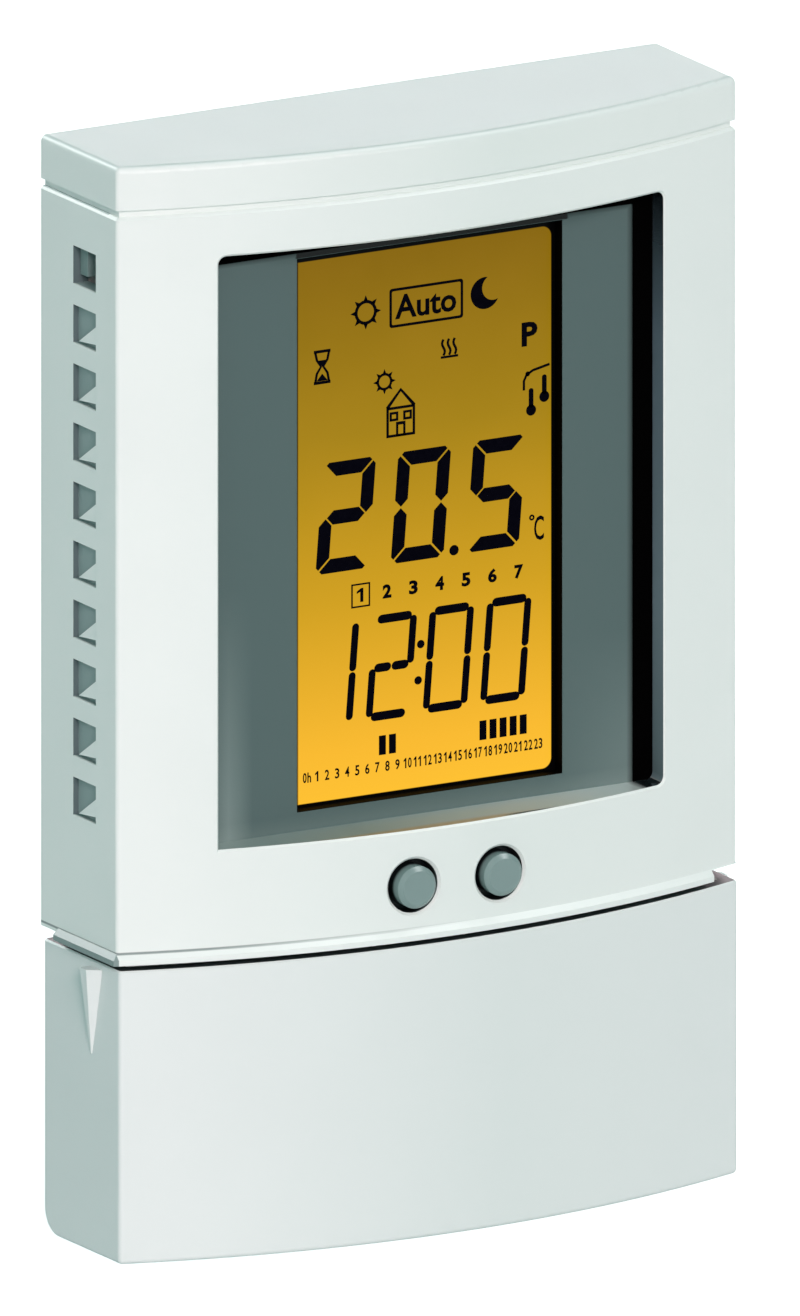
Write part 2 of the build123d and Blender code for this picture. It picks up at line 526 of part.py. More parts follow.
# ---------------------------------------------------------------- board and what it carries
BOARD_WIDE_HALF, BOARD_WIDE_Z = 36.6, (-17.5, 40.0)  # its widest part, between the screws' tubes
BOARD_TALL_HALF, BOARD_TALL_Z = 31.0, (-28.0, 55.4)
BOARD_LOW = -57.6  # end of the tongue behind the keys
board_depth = (BOARD_BACK, BOARD_FRONT)
with BuildPart() as main_board:
    block((-BOARD_WIDE_HALF, BOARD_WIDE_HALF), board_depth, BOARD_WIDE_Z)
    block((-BOARD_TALL_HALF, BOARD_TALL_HALF), board_depth, BOARD_TALL_Z)
    block((BOARD_TONGUE_X, BOARD_TALL_HALF), board_depth, (BOARD_LOW, BOARD_TALL_Z[0]))
    block((BOARD_TONGUE_X, BOARD_WIDE_HALF), board_depth, (BOARD_LOW, DIVIDER_Z[0] - PLAY))
    block((-37.0, -23.0), board_depth, (TERMINAL_Z[0] - 1, TERMINAL_Z[1] + 1), Mode.SUBTRACT)
    for x, z in BOARD_SCREW_SPOTS:
        post(x, z, 1.2, (BOARD_BACK, BOARD_FRONT), Mode.SUBTRACT)
save(main_board, "main_board")

SWITCH_SPOTS = [(x, BUTTON_Z) for x in (-BUTTON_X, BUTTON_X)]
SWITCH_SPOTS += [(x, z) for x in KEY_XS for z in KEY_ZS]
with BuildPart() as key_switches:
    for x, z in SWITCH_SPOTS:
        block((x - 3, x + 3), (BOARD_FRONT, SWITCH_TOP - 0.6), (z - 3, z + 3))
        post(x, z, 1.7, (SWITCH_TOP - 0.6, SWITCH_TOP))
save(key_switches, "key_switches")

SLIDE_TOP = 12.0
with BuildPart() as slide_switch:
    block((SWITCH_X - 5.5, SWITCH_X + 5.5), (BOARD_FRONT, SLIDE_TOP), (SLIDER_Z - 2.5, SLIDER_Z + 2.5))
    slide_slot = (SLIDER_Z - 1.2, SLIDER_Z + 1.2)
    block((SWITCH_X - 3.6, SWITCH_X + 3.6), (SLIDE_TOP - 1.4, SLIDE_TOP), slide_slot, Mode.SUBTRACT)
save(slide_switch, "slide_switch")

CHIP_X, CHIP_Z, CHIP_HALF = 27.0, -3.5, 4.5
CHIP_LEGS, LEG_HALF = 8, 0.2  # on each side, at a pitch of 1 mm
with BuildPart() as microcontroller:
    chip_span_x = (CHIP_X - CHIP_HALF, CHIP_X + CHIP_HALF)
    chip_span_z = (CHIP_Z - CHIP_HALF, CHIP_Z + CHIP_HALF)
    block(chip_span_x, (BOARD_FRONT + 0.1, BOARD_FRONT + 1.6), chip_span_z)
    chamfer(microcontroller.faces().sort_by(Axis.Y)[0].edges(), 0.25)
    legs = (BOARD_FRONT, BOARD_FRONT + 0.7)
    for i in range(CHIP_LEGS):
        x, z = (middle + i - (CHIP_LEGS - 1) / 2 for middle in (CHIP_X, CHIP_Z))
        block((chip_span_x[0] - 1, chip_span_x[1] + 1), legs, (z - LEG_HALF, z + LEG_HALF))
        block((x - LEG_HALF, x + LEG_HALF), legs, (chip_span_z[0] - 1, chip_span_z[1] + 1))
save(microcontroller, "microcontroller")

with BuildPart() as quartz_crystal:
    with Locations(Plane(origin=(-28, -BOARD_FRONT - 1.5, -8), z_dir=(0, 0, 1))):
        Cylinder(1.5, 8.0, align=(Align.CENTER, Align.CENTER, Align.MIN))
    fillet(quartz_crystal.edges().filter_by(GeomType.CIRCLE), 0.3)
save(quartz_crystal, "quartz_crystal")

with BuildPart() as capacitors:
    for x, z in ((27.5, 35.0), (27.5, 43.0)):
        post(x, z, 3.1, (BOARD_FRONT, BOARD_FRONT + 7.5))
    fillet(capacitors.faces().sort_by(Axis.Y)[:2].edges(), 0.4)
save(capacitors, "capacitors")

with BuildPart() as relay:
    block((23.0, 33.4), (BOARD_FRONT, 16.0), (7.0, 27.0))
    chamfer(relay.faces().sort_by(Axis.Y)[0].edges(), 0.5)
save(relay, "relay")

SENSOR_Z = (50.1, 53.3)
with BuildPart() as temperature_sensor:
    block((-40.1, -38.9), (7.5, 9.2), SENSOR_Z)
    block((-40.0, -30.2), (BOARD_FRONT, 8.0), (51.2, 52.2))
save(temperature_sensor, "temperature_sensor")

# ---------------------------------------------------------------- keys, buttons and the slide switch's knob
BUTTON_RADIUS = 2.5
BUTTON_FACE = CROWN + 1.0
BUTTON_EDGE = 0.5  # chamfer round the face
BUTTON_TRAVEL = 0.6
KEY_TRAVEL = 0.5
KEY_FACE = PANEL_FRONT + 1.0
FLANGE_GAP = 0.15
FLANGE_RADIUS = 3.9

for name, x in (("button_left", -BUTTON_X), ("button_right", BUTTON_X)):
    with BuildPart() as button:
        flange = front_depth(BUTTON_X + FLANGE_RADIUS, WALL) - FLANGE_GAP
        post(x, BUTTON_Z, BUTTON_RADIUS, (flange, BUTTON_FACE))
        chamfer(button.edges().filter_by(GeomType.CIRCLE).sort_by(Axis.Y)[0], BUTTON_EDGE)
        post(x, BUTTON_Z, FLANGE_RADIUS, (flange - 0.9, flange))
        post(x, BUTTON_Z, STEM_RADIUS, (SWITCH_TOP + BUTTON_TRAVEL + 0.1, flange))
    save(button, name)

key_number = 0
for z in reversed(KEY_ZS):
    for x in KEY_XS:
        key_number += 1
        with BuildPart() as key:
            flange = PANEL_BACK - FLANGE_GAP
            with BuildSketch(Plane.XZ.offset(flange - 0.8)):
                with Locations((x, z)):
                    RectangleRounded(KEY_WIDE, KEY_HIGH, 0.8)
            extrude(amount=KEY_FACE - flange + 0.8)
            fillet(key.faces().sort_by(Axis.Y)[0].edges(), 0.3)
            half_wide, half_high = KEY_WIDE / 2 + 0.5, KEY_HIGH / 2 + 0.5
            block((x - half_wide, x + half_wide), (flange - 0.8, flange), (z - half_high, z + half_high))
            post(x, z, 1.4, (SWITCH_TOP + KEY_TRAVEL + 0.1, flange))
        save(key, f"program_key_{key_number}")

with BuildPart() as mode_slider:
    half = SLIDER_WIDE / 2
    knob_z = (SLIDER_Z - SLIDER_HIGH / 2, SLIDER_Z + SLIDER_HIGH / 2)
    block((SLIDER_X - half, SLIDER_X + half), (11.0, KEY_FACE), knob_z)
    block((SLIDER_X - half - 1, SLIDER_X + half + 1), (12.3, 13.4), (SLIDER_Z - 1.8, SLIDER_Z + 1.8))
    # grip ribs
    for i in (-1, 0, 1):
        groove = SLIDER_X + 0.8 * i
        block((groove - 0.15, groove + 0.15), (KEY_FACE - 0.3, KEY_FACE), knob_z, Mode.SUBTRACT)
save(mode_slider, "mode_slider")

# ---------------------------------------------------------------- batteries and their contacts
CELL_RADIUS = 5.25
CELL_CASE, CELL_NUB = 43.2, 1.3
CELL_DEPTH = CHASSIS_FLOOR + 0.2 + CELL_RADIUS
CELL_ZS = {"battery_upper": BAY_Z[1] - 0.3 - CELL_RADIUS, "battery_lower": BAY_Z[0] + 0.3 + CELL_RADIUS}
CONTACT_THICK = 0.4
DIMPLE = 0.8

for name, z in CELL_ZS.items():
    facing = 1 if name == "battery_upper" else -1  # the way the positive end points
    plus_wall = BAY_X[1] if facing == 1 else BAY_X[0]
    tip = plus_wall - facing * (CONTACT_THICK + DIMPLE)
    shoulder = tip - facing * CELL_NUB
    with BuildPart() as cell:
        sideways_rod(sorted((shoulder, shoulder - facing * CELL_CASE)), CELL_DEPTH, z, CELL_RADIUS)
        fillet(cell.edges().filter_by(GeomType.CIRCLE), 0.5)
        sideways_rod(sorted((shoulder - facing * 1, tip)), CELL_DEPTH, z, 1.9)
    save(cell, name)

with BuildPart() as battery_contacts:
    for name, z in CELL_ZS.items():
        facing = 1 if name == "battery_upper" else -1
        plus_wall = BAY_X[1] if facing == 1 else BAY_X[0]
        minus_wall = BAY_X[0] if facing == 1 else BAY_X[1]
        size_z = (z - 4, z + 4)
        depth = (CELL_DEPTH - 4, CELL_DEPTH + 4)
        block(sorted((plus_wall, plus_wall - facing * CONTACT_THICK)), depth, size_z)
        sideways_rod(sorted((plus_wall, plus_wall - facing * (CONTACT_THICK + DIMPLE))), CELL_DEPTH, z, 2.2)
        # negative end: a bent leaf that presses on the cell's base
        reach = plus_wall - facing * (CONTACT_THICK + DIMPLE + CELL_NUB + CELL_CASE)
        block(sorted((minus_wall, minus_wall + facing * CONTACT_THICK)), depth, size_z)
        with BuildSketch(Plane.XY.offset(z - 2.5)):
            with BuildLine():
                Polyline(
                    (minus_wall + facing * 0.2, -CELL_DEPTH + 3.8),
                    (reach, -CELL_DEPTH + 0.6),
                    (reach, -CELL_DEPTH - 0.6),
                    (minus_wall + facing * 0.2, -CELL_DEPTH - 3.8),
                    (minus_wall + facing * 0.2, -CELL_DEPTH - 3.2),
                    (reach - facing * CONTACT_THICK, -CELL_DEPTH - 0.3),
                    (reach - facing * CONTACT_THICK, -CELL_DEPTH + 0.3),
                    (minus_wall + facing * 0.2, -CELL_DEPTH + 3.2),
                    close=True,
                )
            make_face()
        extrude(amount=5)
save(battery_contacts, "battery_contacts")

# ---------------------------------------------------------------- screws
def screw(x, z, head_radius, shaft_radius, head, shaft_end, towards=1):
    """A pan-head screw with a cross recess, in the current part. Its head spans two depths."""
    post(x, z, head_radius, head)
    face, under = (head[1], head[0]) if towards == 1 else (head[0], head[1])
    post(x, z, shaft_radius, sorted((under, shaft_end)))
    recess = sorted((face, face - towards * 0.7))
    arm = head_radius * 0.55
    block((x - arm, x + arm), recess, (z - 0.3, z + 0.3), Mode.SUBTRACT)
    block((x - 0.3, x + 0.3), recess, (z - arm, z + arm), Mode.SUBTRACT)


with BuildPart() as case_screw:
    screw(0, CASE_SCREW_Z, CASE_SCREW_HEAD_RADIUS, CASE_SCREW_RADIUS, (PANEL_BACK, PANEL_BACK + 1.9), 0.3)
save(case_screw, "case_screw")

with BuildPart() as board_screws:
    for x, z in BOARD_SCREW_SPOTS:
        screw(x, z, 2.0, 1.1, (BOARD_FRONT, BOARD_FRONT + 1.3), CHASSIS_BACK + 0.2)
save(board_screws, "board_screws")

with BuildPart() as cover_screws:
    for x in (-COVER_SCREW_X, COVER_SCREW_X):
        for z in COVER_SCREW_ZS:
            screw(x, z, 2.2, 1.15, (COVER_SCREW_SEAT - 1.4, COVER_SCREW_SEAT), 12.5, towards=-1)
save(cover_screws, "cover_screws")
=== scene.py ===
# %% [markdown]
# # A programmable room thermostat
# The finished object hangs on a wall, switches a boiler and shows its weekly programme on a lit
# display. Its hard parts come from CAD and keep their shapes here. This lesson gives them their
# plastics, metals and glass, prints what the display and the panel show, and lights the scene.
# Everything is in metres: X runs to the right, the front faces -Y, Z is up, and the wall is Y = 0.

# %% Load the CAD frame
import math

import bmesh
import bpy
from mathutils import Matrix, Vector


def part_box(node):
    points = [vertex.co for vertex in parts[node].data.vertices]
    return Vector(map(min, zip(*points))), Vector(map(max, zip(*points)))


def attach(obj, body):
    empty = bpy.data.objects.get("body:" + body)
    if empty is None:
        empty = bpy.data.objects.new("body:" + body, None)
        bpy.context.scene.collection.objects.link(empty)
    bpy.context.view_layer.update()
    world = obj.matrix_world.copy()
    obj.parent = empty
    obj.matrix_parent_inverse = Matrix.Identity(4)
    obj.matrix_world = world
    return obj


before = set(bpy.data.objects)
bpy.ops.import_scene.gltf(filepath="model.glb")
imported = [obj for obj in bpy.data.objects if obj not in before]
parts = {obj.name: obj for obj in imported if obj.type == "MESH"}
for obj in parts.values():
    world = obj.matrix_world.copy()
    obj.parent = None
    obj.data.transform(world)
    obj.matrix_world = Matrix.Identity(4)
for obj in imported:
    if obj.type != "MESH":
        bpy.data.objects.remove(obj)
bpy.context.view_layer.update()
MM = 0.001

# %% [markdown]
# ## Camera
# The thermostat is seen from its left, a little above, with no perspective: its upright edges stay
# parallel. An orthographic camera does exactly that, and its scale is simply the height of the frame.
# Setting the view by two angles keeps it easy to change.

# %% Camera
VIEW_AZIMUTH, VIEW_ELEVATION = math.radians(-30.04), math.radians(14.9)
FRAME_HEIGHT = 150.78 * MM
FRAME_SHIFT = (-0.513 * MM, 0.302 * MM)  # to the right and up, as the camera sees it
CAMERA_DISTANCE = 0.9

towards_camera = Vector(
    (
        math.sin(VIEW_AZIMUTH) * math.cos(VIEW_ELEVATION),
        -math.cos(VIEW_AZIMUTH) * math.cos(VIEW_ELEVATION),
        math.sin(VIEW_ELEVATION),
    )
)
turn = (-towards_camera).to_track_quat("-Z", "Y")
target = Vector((0, -12.3 * MM, 0)) + turn @ Vector((*FRAME_SHIFT, 0))
lens = bpy.data.cameras.new("camera")
lens.type = "ORTHO"
lens.ortho_scale = FRAME_HEIGHT
lens.clip_start, lens.clip_end = 0.01, 50
camera = bpy.data.objects.new("camera", lens)
camera.rotation_mode = "QUATERNION"
camera.rotation_quaternion = turn
camera.location = target + towards_camera * CAMERA_DISTANCE
bpy.context.scene.collection.objects.link(camera)
bpy.context.scene.camera = camera
print("camera at", [round(v, 3) for v in camera.location])

# %% [markdown]
# ## A small language for shaders
# A material is a graph of nodes, and a graph is hard to read as a list of links. Here a `Signal` is
# one output of a node and behaves like a number, so `1 - mask * 0.5` adds its own Math nodes. A
# `Finish` is one material, and its single `node` method makes every other node.


# %% Signals and finishes
class Signal:
    """One output of a shader node, which adds, multiplies and compares like a number."""

    def __init__(self, finish, socket):
        self.finish, self.socket = finish, socket

    def other(self, name):
        return Signal(self.finish, self.socket.node.outputs[name])

    def maths(self, operation, first, second, clamp=False):
        return self.finish.node("Math", {"operation": operation, "use_clamp": clamp}, [first, second])

    def __add__(self, other):
        return self.maths("ADD", self, other)

    def __sub__(self, other):
        return self.maths("SUBTRACT", self, other)

    def __mul__(self, other):
        return self.maths("MULTIPLY", self, other)

    def __radd__(self, other):
        return self.maths("ADD", other, self)

    def __rsub__(self, other):
        return self.maths("SUBTRACT", other, self)

    def __rmul__(self, other):
        return self.maths("MULTIPLY", other, self)

    def __gt__(self, other):
        return self.maths("GREATER_THAN", self, other)

    def __or__(self, other):
        return self.maths("MAXIMUM", self, other)

    def __abs__(self):
        return self.maths("ABSOLUTE", self, 0)

    def above(self, limit, soft):
        """0 below the limit and 1 above it, with a soft edge of that width."""
        return self.maths("ADD", (self - limit) * (1 / soft), 0.5, clamp=True)

    def within(self, middle, half, soft):
        """1 within half of the middle, and 0 further away."""
        return 1 - abs(self - middle).above(half, soft)


class Finish:
    """One material, with a Principled shader that its other nodes feed."""

    def __init__(self, name, **settings):
        self.material = bpy.data.materials.new(name)
        self.material.use_nodes = True
        self.tree = self.material.node_tree
        self.shader = self.tree.nodes["Principled BSDF"]
        for name, value in settings.items():
            self.set(name.replace("_", " "), value)
        self.place = self.node("TexCoord", out="Object")
        self.x = self.node("SeparateXYZ", {}, [self.place])
        self.depth, self.z = 0 - self.x.other("Y"), self.x.other("Z")
        normal = self.node("SeparateXYZ", {}, [self.node("NewGeometry", out="True Normal")])
        self.facing_front, self.facing_up = 0 - normal.other("Y"), normal.other("Z")

    def feed(self, socket, value):
        if isinstance(value, Signal):
            self.tree.links.new(value.socket, socket)
        elif socket.type == "RGBA":
            socket.default_value = (*value, 1)[:4]
        else:
            socket.default_value = value

    def set(self, name, value):
        self.feed(self.shader.inputs[name], value)

    def node(self, kind, settings=None, inputs=(), out=0):
        made = self.tree.nodes.new("ShaderNode" + kind)
        for name, value in (settings or {}).items():
            if name == "stops":
                ramp = made.color_ramp.elements
                while len(ramp) < len(value):
                    ramp.new(1)
                for stop, (place, colour) in zip(ramp, value):
                    stop.position, stop.color = place, (*colour, 1)
            else:
                setattr(made, name, value)
        feeds = inputs if isinstance(inputs, dict) else dict(enumerate(inputs))
        for name, value in feeds.items():
            self.feed(made.inputs[name], value)
        return Signal(self, made.outputs[out])

    def mix(self, mask, first, second):
        return self.node("Mix", {"data_type": "RGBA"}, {0: mask, 6: first, 7: second}, out=2)

    def noise(self, size, detail=2.0):
        """Soft noise whose features are about that size."""
        return self.node("TexNoise", {}, {"Vector": self.place, "Scale": 1 / size, "Detail": detail})

    def cells(self, size, randomness=1.0, feature="F1"):
        """Distances in a pattern of cells of about that size."""
        inputs = {"Vector": self.place, "Scale": 1 / size, "Randomness": randomness}
        return self.node("TexVoronoi", {"feature": feature}, inputs)

    def relief(self, height, depth):
        """Raises the surface by height times depth, as seen by the light."""
        self.set("Normal", self.node("Bump", {}, {"Height": height, "Distance": depth}))


def shade(red, green, blue):
    """A colour as it looks on a screen, 0 to 255, turned into light."""
    levels = [c / 255 for c in (red, green, blue)]
    return tuple(((c + 0.055) / 1.055) ** 2.4 if c > 0.04 else c / 12.92 for c in levels)


def grey(level):
    return (level, level, level)


# %% [markdown]
# ## Moulded plastic
# The casing is injection-moulded ABS in a cool white. A mould is spark-eroded to a very fine matt
# grain, and the melt leaves faint broad clouds where it flowed. Two sizes of noise give both: the
# broad one shifts the colour by a percent or two, the fine one only the roughness and the relief.
# Painted shade makes the bowed front a little darker along its middle, and the door a few percent
# darker than the rest of the case. Painted shade also darkens surfaces in narrow gaps: the top rim of
# the door, and the sides of the buttons deep in their holes.

# %% Moulded plastic
CASE_WHITE = (0.79, 0.857, 0.825)
HAIR = 0.06 * MM
CROWN_MIDDLE, CROWN_HALF, CROWN_SOFT = 6 * MM, 22 * MM, 42 * MM
CROWN_TINT = (1.15, 0.8, 0.9)
DOOR_TOP = -30.2 * MM
BUTTON_HALF_GAP, BUTTON_LEVEL = 5.7 * MM, -23.2 * MM
# painted shade darkens the gap round a button further in than GAP_DEPTH
GAP_DEPTH, GAP_SOFT = 23.9 * MM, 0.5 * MM  # the gap round a button is dark further in than this


def moulded(name, colour, roughness, grain=0.22 * MM, relief=0.003 * MM, clouds=0.03, crown_shade=0.0):
    """Matt plastic. Above 0, the last argument is the painted shade along the bowed front's middle."""
    finish = Finish(name, Specular_IOR_Level=0.4)
    broad, fine = finish.noise(18 * MM, 1), finish.noise(grain, 2)
    darker = tuple(c * (1 - clouds) for c in colour)
    lighter = tuple(min(1, c * (1 + clouds)) for c in colour)
    finish.colour = finish.mix(broad, darker, lighter)
    # painted shade along the middle of the bowed front, with a cool tint
    if crown_shade:
        along_middle = finish.x.within(CROWN_MIDDLE, CROWN_HALF, CROWN_SOFT)
        along_middle = along_middle * finish.facing_front.above(0.6, 0.4)
        shaded = tuple(c * (1 - crown_shade * share) for c, share in zip(colour, CROWN_TINT))
        finish.colour = finish.mix(along_middle, finish.colour, shaded)
    finish.rough = roughness + 0.1 * (fine - 0.5)
    finish.set("Base Color", finish.colour)
    finish.set("Roughness", finish.rough)
    finish.relief(fine, relief)
    return finish


case = moulded("case_white", CASE_WHITE, 0.42, crown_shade=0.12)
# the door's white is a few percent darker than the case white: painted shade, as the light falls off towards
# the bottom
door = moulded("door_white", (0.74, 0.805, 0.785), 0.42, crown_shade=0.10)
# painted shade on the door's top rim, which stands in the narrow gap under the lip
door_rim_shade = door.facing_up.above(0.9, 0.05) * door.z.within(DOOR_TOP, 0.1 * MM, 0.1 * MM)
door.set("Base Color", door.mix(door_rim_shade, door.colour, (0.018, 0.028, 0.028)))
base = moulded("base_white", (0.66, 0.69, 0.67), 0.5)
panel = moulded("panel_white", (0.74, 0.79, 0.77), 0.45)
button = moulded("button_grey", shade(122, 146, 143), 0.36)
# painted shade on the sides of the buttons, deep in their holes
in_gap = 1 - button.depth.above(GAP_DEPTH, GAP_SOFT)
button_gap_shade = in_gap * button.z.within(BUTTON_LEVEL, 5 * MM, HAIR)
button.set("Base Color", button.mix(button_gap_shade, button.colour, (0.004, 0.007, 0.008)))
holder = moulded("holder_black", grey(0.03), 0.5)
block_green = moulded("terminal_green", (0.03, 0.13, 0.085), 0.4)
print("moulded finishes:", [f.material.name for f in (case, door, base, panel, button, holder, block_green)])

# %% [markdown]
# ## The window in the casing
# The walls of the window are polished, unlike the grained front. Its sill carries a painted
# reflection of the lit display and of the dark seal, on a painted light that is paler towards the
# right. Its sides carry a painted shade, darkest at the top, that stands for the shade in the window
# and the reflection of the plate. Both are colours in the material, so they look the same from every
# side. The casing is one moulding, so a mask finds those walls: it is 1 only inside the window's
# outline, where the surface runs from front to back.

# %% The casing with its window
WINDOW_HALF = 29.45 * MM
WINDOW_LOW, WINDOW_HIGH = -16.6 * MM, 53.7 * MM
WINDOW_MIDDLE, WINDOW_HALF_HIGH = (WINDOW_LOW + WINDOW_HIGH) / 2, (WINDOW_HIGH - WINDOW_LOW) / 2
PLATE_DEPTH = 18.05 * MM

cover = moulded("case_window", CASE_WHITE, 0.42, crown_shade=0.10)
upright_wall = 1 - abs(cover.facing_front).above(0.5, 0.1)
in_window = cover.x.within(0, WINDOW_HALF + HAIR, HAIR)
in_window = in_window * cover.z.within(WINDOW_MIDDLE, WINDOW_HALF_HIGH + HAIR, HAIR)
wall = in_window * (cover.depth > PLATE_DEPTH - 1 * MM) * upright_wall
faces_up = cover.facing_up.above(0.7, 0.1)
sill, side_wall = wall * faces_up, wall * (1 - faces_up)
# painted shade on the sides of the window, darkest at the top
down_the_wall = cover.node("MapRange", {}, [cover.z, WINDOW_LOW, WINDOW_HIGH, 1.0, 0.0])
wall_painted_shade = cover.node(
    "ValToRGB",
    {
        "stops": [
            (0, shade(8, 12, 14)),
            (0.08, shade(56, 70, 76)),
            (0.25, shade(104, 124, 134)),
            (0.7, shade(128, 150, 158)),
            (1, shade(110, 130, 134)),
        ]
    },
    [down_the_wall],
)
# painted reflections on the sill, of the amber display and the dark seal, on a painted light that is paler
# towards the right
amber_reflection_zone = cover.depth.above(23.0 * MM, 1.0 * MM) * cover.x.within(-3 * MM, 13 * MM, 8 * MM)
sill_painted_light = cover.mix(cover.x.above(4 * MM, 30 * MM), shade(160, 178, 172), shade(232, 244, 240))
sill_painted_light = cover.mix(amber_reflection_zone * 0.6, sill_painted_light, shade(206, 164, 74))
painted_display_reflection = cover.x.within(10.5 * MM, 3 * MM, 2.5 * MM) * cover.depth.above(23.35 * MM, 0.3 * MM)
painted_strip_reflection = cover.x.above(26.6 * MM, 1.2 * MM) | painted_display_reflection
sill_painted_light = cover.mix(painted_strip_reflection, sill_painted_light, shade(30, 40, 42))
tone = cover.mix(side_wall, cover.colour, wall_painted_shade)
tone = cover.mix(sill, tone, sill_painted_light)
cover.set("Coat Weight", wall)
cover.set("Coat Roughness", 0.06)
cover.set("Roughness", cover.rough * (1 - 0.5 * wall))
print("window", round(2 * WINDOW_HALF / MM, 1), "mm wide")

# %% [markdown]
# ## Hollows in the casing
# Little light reaches into the vents' pockets, the holes round the buttons and the fine line above
# the lip, so painted shade darkens them, and the side face of the lip too. The same kind of mask
# finds them: inside the flat side by a hair, round a button's axis where the surface stands upright,
# and at the height of the lip.

# %% Vents, button holes and the lip
SIDE_HALF = 41 * MM
VENT_INNER, VENT_FRONT = 38.3 * MM, 15 * MM
HOLE_RADIUS, HOLE_REAR = 3.35 * MM, 22 * MM
LIP_TOP = -28.2 * MM

# painted shade in the vents' pockets, darkest on their rear walls
behind_side = 1 - abs(cover.x).above(SIDE_HALF - 0.25 * MM, 0.1 * MM)
rear_wall = cover.facing_front.above(0.5, 0.1)
by_vents = abs(cover.x).above(VENT_INNER, HAIR) * (1 - cover.depth.above(VENT_FRONT, HAIR))
vent = (behind_side | rear_wall) * by_vents
vent_painted_shade = cover.mix(rear_wall, (0.27, 0.37, 0.36), (0.10, 0.145, 0.15))
tone = cover.mix(vent, tone, vent_painted_shade)

# painted shade on the walls of the button holes, black deep in
around_x, around_z = abs(cover.x) - BUTTON_HALF_GAP, cover.z - BUTTON_LEVEL
in_button_hole = 1 - (around_x * around_x + around_z * around_z).above(HOLE_RADIUS**2, 1e-7)
hole_wall = in_button_hole * upright_wall * cover.depth.above(HOLE_REAR, 0.1 * MM)
hole_shade = 1 - cover.depth.above(GAP_DEPTH, GAP_SOFT)
tone = cover.mix(hole_wall, tone, cover.mix(hole_shade, (0.20, 0.28, 0.27), grey(0.01)))

# a painted shadow line above the lip, and painted shade on the side face of the lip
lip_shadow_line = cover.z.within(LIP_TOP, 0.13 * MM, 0.1 * MM) * (1 - cover.x.above(-14 * MM, 34 * MM))
tone = cover.mix(lip_shadow_line * 0.75, tone, (0.10, 0.15, 0.145))
beside_lip_shade = abs(cover.x).above(SIDE_HALF + HAIR, HAIR)
cover.set("Base Color", cover.mix(beside_lip_shade, tone, (0.22, 0.30, 0.29)))
print("vent pockets behind x =", round(SIDE_HALF / MM, 1), "mm")

# %% [markdown]
# ## The grey plate and its seal
# A glossy grey plate fills the window round the display. A painted pool of light makes it paler
# towards its lower left, its lower right and its foot, and painted shade darkens it beside the black
# foam seal and above the display, where little light reaches. The edges of the opening cut in the
# plate for the display are painted black as painted shade, so that no amber light shows on them.

# %% Grey plate
OPENING_HALF = 17.5 * MM
OPENING_LOW, OPENING_HIGH = -14.3 * MM, 51.2 * MM
OPENING_MIDDLE, OPENING_HALF_HIGH = (OPENING_LOW + OPENING_HIGH) / 2, (OPENING_HIGH - OPENING_LOW) / 2
SEAL_LEFT, SEAL_LOW = 26.85 * MM, 52.0 * MM

plate = Finish("plate_grey", Specular_IOR_Level=0.4)
plate_fine = plate.noise(0.4 * MM, 2)
plate_grey, plate_pool_light = (0.080, 0.128, 0.124), (0.24, 0.32, 0.30)
# a painted pool of light, paler towards the lower left, the lower right and the foot
low = 1 - plate.z.above(-1 * MM, 28 * MM)
left = plate.x.within(-26.6 * MM, 1.4 * MM, 3.5 * MM)
right = plate.x.above(21 * MM, 10 * MM) * (1 - plate.z.above(-6 * MM, 16 * MM))
foot = 1 - plate.z.above(-15.4 * MM, 1.6 * MM)
painted_light_pool = low * left * 0.65 + right * 0.3 + foot * 0.2
tint = plate.mix(painted_light_pool, plate_grey, plate_pool_light)
# painted shade beside the seal and above the display
shade_near_seal = plate.x.above(SEAL_LEFT - 0.35 * MM, 0.9 * MM) | plate.z.above(SEAL_LOW - 0.2 * MM, 0.9 * MM)
shade_over_display = plate.z.above(OPENING_HIGH + 0.1 * MM, 0.1 * MM)
shade_over_display = shade_over_display * plate.x.within(0.3 * MM, 18 * MM, 0.3 * MM)
tint = plate.mix(shade_near_seal * 0.85 | shade_over_display, tint, grey(0.002))
# the edges of the opening are painted black as painted shade
in_opening = plate.x.within(0, OPENING_HALF + HAIR, HAIR)
in_opening = in_opening * plate.z.within(OPENING_MIDDLE, OPENING_HALF_HIGH + HAIR, HAIR)
plate.set("Base Color", plate.mix(in_opening, tint, grey(0.0015)))
plate.set("Roughness", 0.2 + 0.08 * plate_fine + 0.6 * in_opening)
plate.set("Metallic", in_opening)
plate.relief(plate_fine, 0.001 * MM)

seal = Finish("seal_foam", Base_Color=grey(0.0008), Specular_IOR_Level=0.0)
bubbles = seal.cells(0.25 * MM)
seal.set("Roughness", 0.85 + 0.1 * bubbles)
seal.relief(bubbles, 0.03 * MM)
print("opening", round(2 * OPENING_HALF / MM, 1), "x", round((OPENING_HIGH - OPENING_LOW) / MM, 1), "mm")

# %% [markdown]
# ## The lit display
# A liquid crystal display is glass with an amber light guide behind it. The lamps stand along the
# lower edge, so the glow is strongest there and fades to a dark gold at the top. The glow is
# emission that follows a colour ramp up the glass. The rim of the glass is dark, and the lit area
# has rounded corners on the right.

# %% Display glass
GLASS_DEPTH = 16.45 * MM
LIT_LEFT, LIT_RIGHT, LIT_LOW, LIT_TOP = -16.5 * MM, 17.0 * MM, -13.95 * MM, 50.3 * MM
LIT_MIDDLE, LIT_HALF = (LIT_TOP + LIT_LOW) / 2, (LIT_TOP - LIT_LOW) / 2
LIT_ROUND = 1.2 * MM

